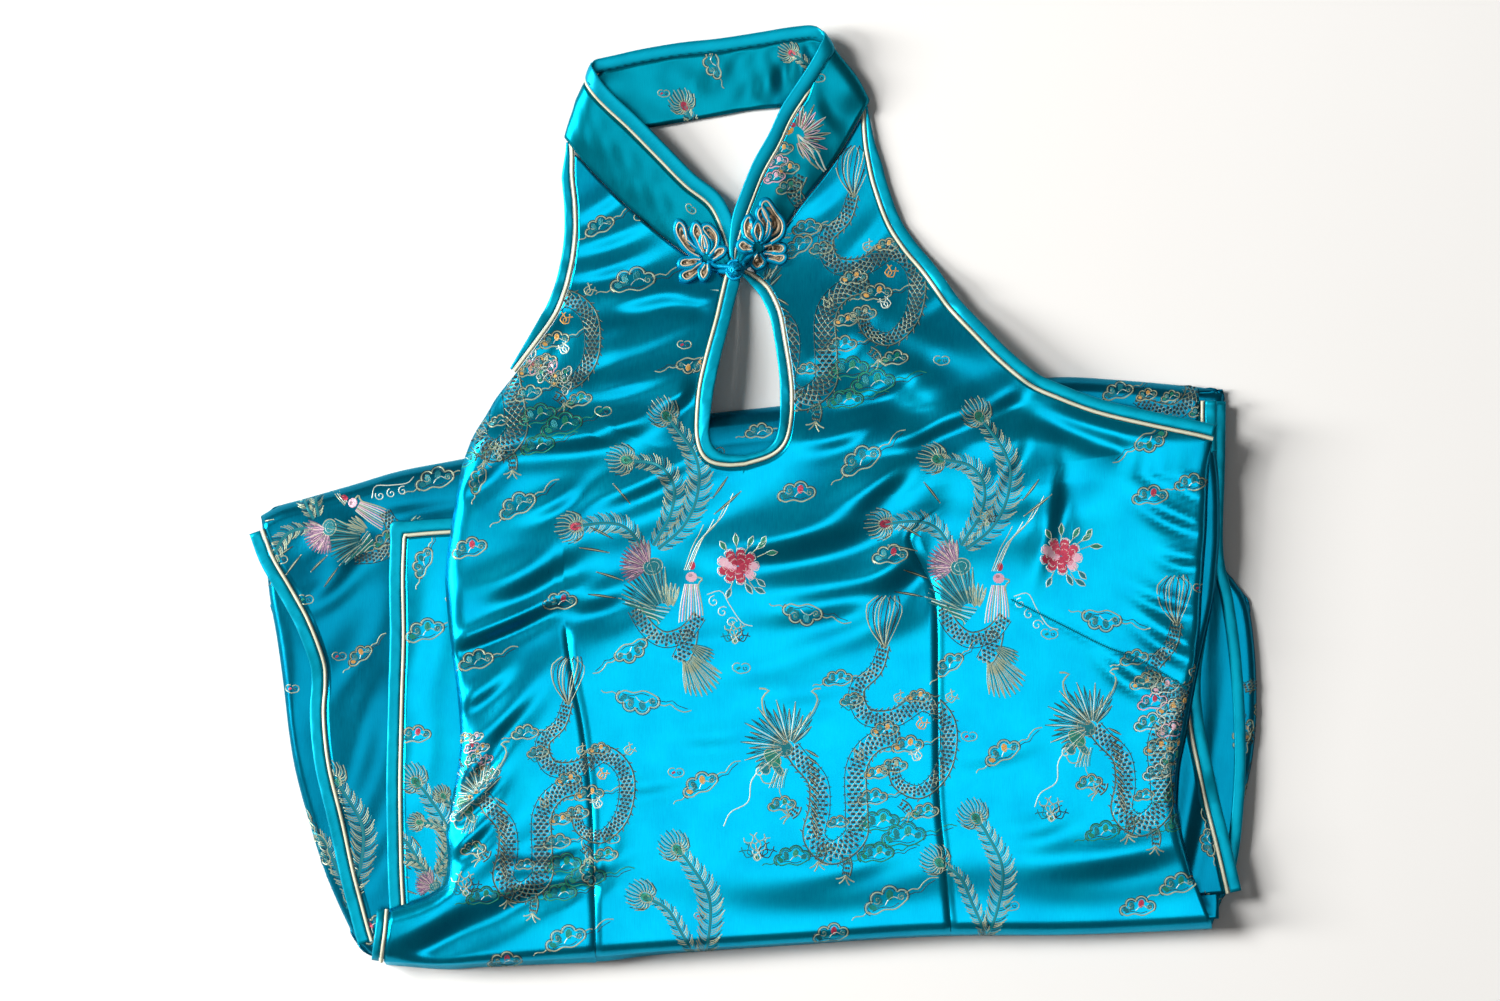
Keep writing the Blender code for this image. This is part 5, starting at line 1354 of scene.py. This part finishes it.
motifs = {
    "cloud": lambda: cloudMotif("teal"), "goldCloud": lambda: cloudMotif("orange"),
    "greenCloud": lambda: cloudMotif("green"), "redCloud": lambda: cloudMotif("red", False),
    "curl": curlMotif, "redCurl": lambda: curlMotif("red"),
    "phoenix": phoenixMotif, "peony": peonyMotif, "dragon": dragonMotif, "mane": maneMotif, "coil": coilMotif,
    "fire": fireMotif, "bright": brightMotif, "feathers": twoFeathers,
    "feather": lambda: featherMotif([(4, -26), (6, -14), (2, -4), (0, 0)], "red", 5.4),
}
places = {  # motif, photo x y, turn in degrees, size, mirrored
    "upperBodice": [
        ("phoenix", 655, 556, 0, 1.0, 1), ("phoenix", 962, 556, -2, 1.0, 1), ("peony", 738, 566, 0, 0.82, 1),
        ("peony", 1060, 556, -6, 0.82, 1), ("dragon", 812, 300, 0, 1.0, 1), ("dragon", 494, 356, 8, 0.95, 1),
        ("fire", 500, 455, 0, 0.6, 1), ("cloud", 634, 281, 4, 1.15, 1), ("curl", 603, 412, 0, 0.85, 1),
        ("redCurl", 684, 345, 0, 0.7, 1), ("goldCloud", 690, 364, 180, 0.75, 1),
        ("cloud", 520, 506, 22, 1.0, 1), ("redCloud", 472, 549, 10, 0.9, 1), ("cloud", 862, 461, 24, 1.1, 1),
        ("redCloud", 798, 494, 0, 0.95, 1), ("redCloud", 891, 556, 0, 0.9, 1), ("curl", 941, 361, 0, 0.8, 1),
        ("greenCloud", 1148, 440, 200, 0.9, 1), ("redCloud", 1150, 497, 0, 0.9, 1),
        ("cloud", 1190, 484, 0, 0.8, 1), ("redCurl", 1198, 588, 0, 0.7, 1), ("cloud", 600, 225, 20, 0.8, 1),
        ("fire", 985, 520, 20, 0.6, 1), ("cloud", 800, 245, 30, 0.8, 1), ("curl", 640, 215, 30, 0.7, 1),
        ("greenCloud", 480, 480, 60, 0.7, 1), ("bright", 548, 372, 60, 0.5, 1),
    ],
    "lowerBodice": [
        ("feathers", 690, 872, 4, 1.0, 1), ("feathers", 985, 842, -2, 1.0, 1), ("dragon", 842, 752, 0, 1.0, 1),
        ("dragon", 530, 800, 0, 0.92, 1), ("dragon", 1142, 728, 4, 0.96, 1), ("fire", 757, 850, 0, 0.9, 1),
        ("fire", 466, 886, 10, 0.8, 1), ("fire", 1050, 812, 0, 0.8, 1), ("redCloud", 562, 602, 0, 0.85, 1),
        ("cloud", 478, 661, 8, 0.9, 1), ("cloud", 630, 650, 200, 0.9, 1), ("cloud", 640, 699, 180, 1.1, -1),
        ("curl", 741, 668, 0, 0.9, 1), ("redCurl", 676, 772, 0, 0.8, 1), ("goldCloud", 702, 784, 20, 0.95, 1),
        ("cloud", 804, 612, 180, 1.0, -1), ("cloud", 1102, 618, 180, 1.0, -1), ("curl", 1048, 634, 0, 0.85, 1),
        ("cloud", 950, 664, 30, 0.8, 1), ("redCurl", 968, 736, 0, 0.8, 1),
        ("goldCloud", 1003, 752, 22, 0.95, 1), ("greenCloud", 888, 900, 14, 1.15, 1),
        ("redCloud", 832, 934, 6, 0.9, 1), ("greenCloud", 568, 938, 12, 1.05, 1),
        ("greenCloud", 1178, 884, 8, 0.95, 1), ("redCloud", 1138, 907, 0, 0.9, 1),
        ("redCloud", 506, 962, 4, 0.9, 1), ("curl", 612, 838, 0, 0.8, 1), ("fire", 735, 636, 0, 0.7, 1),
        ("cloud", 590, 870, 90, 0.7, 1), ("curl", 1010, 905, 0, 0.8, 1), ("redCurl", 700, 915, 0, 0.6, 1),
        ("bright", 1158, 728, 6, 0.9, 1), ("bright", 480, 760, 20, 0.5, 1),
    ],
    "skirt": [
        ("phoenix", 322, 522, 62, 0.85, 1), ("cloud", 436, 480, 10, 1.0, 1),
        ("greenCloud", 386, 540, 20, 0.7, 1), ("redCurl", 338, 657, 0, 0.7, 1),
        ("goldCloud", 360, 656, 30, 0.7, 1), ("curl", 305, 600, 0, 0.8, 1), ("feathers", 345, 806, 0, 1.0, 1),
        ("coil", 1168, 402, 8, 0.9, 1), ("cloud", 1120, 392, 8, 0.8, 1), ("cloud", 1210, 842, 90, 0.7, 1),
        ("redCurl", 290, 690, 0, 0.7, 1), ("goldCloud", 1245, 740, 80, 0.8, 1), ("coil", 1266, 716, 70, 0.9, 1),
        ("coil", 1268, 770, -100, 0.8, 1), ("curl", 716, 452, 0, 0.8, 1), ("cloud", 760, 432, 0, 0.7, 1),
        ("fire", 1200, 905, 0, 0.7, 1), ("curl", 1226, 905, 0, 0.7, 1), ("cloud", 320, 850, 100, 0.8, 1),
        ("redCloud", 372, 930, 60, 0.8, 1), ("curl", 280, 560, 0, 0.7, 1),
    ],
    "hem": [
        ("cloud", 424, 562, 60, 0.8, 1), ("greenCloud", 426, 632, 10, 1.0, 1),
        ("redCloud", 416, 736, 0, 0.8, 1), ("feathers", 428, 806, 4, 1.0, 1), ("phoenix", 436, 880, 0, 0.6, 1),
        ("curl", 452, 600, 0, 0.7, 1),
    ],
    "collar": [
        ("feather", 684, 104, 0, 0.85, 1), ("cloud", 713, 62, 100, 0.75, 1), ("mane", 796, 134, 8, 0.95, 1),
        ("fire", 690, 238, -40, 0.6, 1), ("curl", 690, 208, -40, 0.6, 1), ("feather", 792, 52, 30, 0.7, 1),
        ("curl", 818, 78, 0, 0.7, 1), ("redCurl", 663, 92, 0, 0.6, 1),
    ],
}
grounds = {
    "upperBodice": ["bodiceSheet"], "lowerBodice": ["bodiceSheet"], "hem": ["hemSheet"],
    "collar": ["collarSheet"], "skirt": ["skirtFrontSheet", "skirtBackLeft", "skirtBackRight"],
}
colourOrder = list(threadColours)
weaving = {"rise": 0.16, "lift": 0.06, "layer": 0.012, "layers": 5}  # threads lie in thin layers


def weaveBrocade(where, cover):
    allowed = grounds[where]
    bm = bmesh.new()
    offsets, colours, chains = {}, {}, []
    for kind, x, y, turn, size, mirrored in places[where]:
        middle = atPhoto(x, y)
        cosT, sinT = math.cos(math.radians(turn)) * size, math.sin(math.radians(turn)) * size
        for order, (points, width, colour) in enumerate(motifs[kind]()):
            points = np.array(points, float) * [mirrored, 1]
            points = points @ np.array([[cosT, sinT], [-sinT, cosT]]) + middle
            if len(points) < 4 and np.linalg.norm(points[-1] - points[0]) > 5:
                old, new = np.linspace(0, 1, len(points)), np.linspace(0, 1, 4)
                points = np.column_stack([np.interp(new, old, points[:, k]) for k in (0, 1)])
            kept = []
            lift = weaving["layer"] * (order % weaving["layers"])
            for px, py in points:
                height, owner = cover.at(px, py)
                if owner in allowed:
                    kept.append((px, py, height + weaving["lift"] + lift))
                    continue
                if len(kept) > 1:
                    chains.append((np.array(kept), width, colour))
                kept = []
            if len(kept) > 1:
                chains.append((np.array(kept), width, colour))
    for chain, width, colour in chains:
        way = np.gradient(chain[:, :2], axis=0)
        way /= np.maximum(np.linalg.norm(way, axis=1)[:, None], 1e-9)
        side = np.column_stack([-way[:, 1], way[:, 0]]) * width / 2
        previous = None
        for spot, across in zip(chain, side):
            vert = bm.verts.new(((spot[0] + across[0]) * mm, (spot[1] + across[1]) * mm, spot[2] * mm))
            offsets[vert] = (-across[0] * mm, -across[1] * mm)
            colours[vert] = colourOrder.index(colour)
            if previous:
                bm.edges.new((previous, vert))
            previous = vert
    rise = weaving["rise"] * mm
    for lift in (rise, -rise):  # a raised middle, then the far side of each thread
        edges = [edge for edge in bm.edges if edge.verts[0] in offsets and edge.verts[1] in offsets]
        made = bmesh.ops.extrude_edge_only(bm, edges=edges)
        fresh = [item for item in made["geom"] if isinstance(item, bmesh.types.BMVert)]
        nextOffsets = {}
        for vert in fresh:
            source = next(edge.other_vert(vert) for edge in vert.link_edges if edge.other_vert(vert) in offsets)
            dx, dy = offsets[source]
            vert.co += Vector((dx, dy, lift))
            nextOffsets[vert] = (dx, dy)
            colours[vert] = colours[source]
        offsets = nextOffsets
    for face in bm.faces:
        face.material_index = colours[face.verts[0]]
    bmesh.ops.reverse_faces(bm, faces=[face for face in bm.faces if face.normal.z < 0])
    print("brocade", where, len(chains), "threads", 2 * len(bm.faces), "triangles")
    putPiece(
        where + "Brocade", meshOf(where + "Brocade", bm), [threads[name] for name in colourOrder],
    )


covering = Cover(sheets + ["frogLeft", "frogRight", "knotCore", "frogStraps"])
for where in places:
    weaveBrocade(where, covering)
print("stage: brocade woven")


light = {
    "window": {"place": (-3.8, 1.6, 3.1), "size": (1.5, 1.5), "power": 258.0, "colour": (1.0, 0.985, 0.96)},
    "low": {"place": (-4.4, 0.2, 1.8), "size": (1.0, 1.6), "power": 265.0, "colour": (1.0, 0.975, 0.94)},
    "over": {"place": (0.14, -0.30, 2.4), "size": (1.7, 1.3), "power": 20.5, "colour": (1.0, 1.0, 1.0)},
    "world": (0.98, 0.95, 0.92), "worldStrength": 0.12,
}


paper = {
    "reach": 4.0, "below": 0.0004, "dark": (0.93, 0.928, 0.92), "light": (0.97, 0.97, 0.965),
    "mottle": 3.0, "rough": 0.85, "specular": 0.2,
}


def makeStudio():
    bm = bmesh.new()
    bmesh.ops.create_grid(bm, x_segments=8, y_segments=8, size=paper["reach"])
    floor = bpy.data.objects.new("paleFloor", meshOf("paleFloor", bm))
    bpy.context.scene.collection.objects.link(floor)
    floor.location = (0, 0, -paper["below"])
    finish = bpy.data.materials.new("palePaper")
    finish.use_nodes = True
    nodes, link = finish.node_tree.nodes, finish.node_tree.links.new
    shader = nodes["Principled BSDF"]
    place = nodes.new("ShaderNodeTexCoord")
    mottle = newNode(nodes, "ShaderNodeTexNoise", [("Scale", paper["mottle"])])
    tone = newRamp(nodes, paper["dark"], paper["light"])
    link(place.outputs["Object"], mottle.inputs["Vector"])
    link(mottle.outputs["Fac"], tone.inputs["Fac"])
    link(tone.outputs["Color"], shader.inputs["Base Color"])
    shader.inputs["Roughness"].default_value = paper["rough"]
    shader.inputs["Specular IOR Level"].default_value = paper["specular"]
    floor.data.materials.append(finish)
    for name in ("window", "low", "over"):
        setup = light[name]
        data = bpy.data.lights.new(name, "AREA")
        data.shape = "RECTANGLE"
        data.size, data.size_y = setup["size"]
        data.energy = setup["power"]
        data.color = setup["colour"]
        lamp = bpy.data.objects.new(name, data)
        lamp.location = setup["place"]
        lamp.visible_diffuse = name != "over"  # the ceiling glow shows in the satin only
        lamp.rotation_euler = (-Vector(setup["place"])).to_track_quat("-Z", "Y").to_euler()
        bpy.context.scene.collection.objects.link(lamp)
    world = bpy.data.worlds.new("room")
    world.use_nodes = True
    world.node_tree.nodes["Background"].inputs["Color"].default_value = (*light["world"], 1)
    world.node_tree.nodes["Background"].inputs["Strength"].default_value = light["worldStrength"]
    bpy.context.scene.world = world
    bpy.context.scene.view_settings.view_transform = "Standard"  # plain colour, as the photograph has it


def makeCamera():
    data = bpy.data.cameras.new("topCamera")
    data.lens, data.sensor_width = view["lens"], view["sensor"]
    camera = bpy.data.objects.new("topCamera", data)
    distance = view["frameWidth"] * view["lens"] / view["sensor"]
    camera.location = (view["centreX"] * mm, view["centreY"] * mm, (distance + view["focusHeight"]) * mm)
    bpy.context.scene.collection.objects.link(camera)
    bpy.context.scene.camera = camera


makeStudio()
makeCamera()
print("stage: lit and framed")
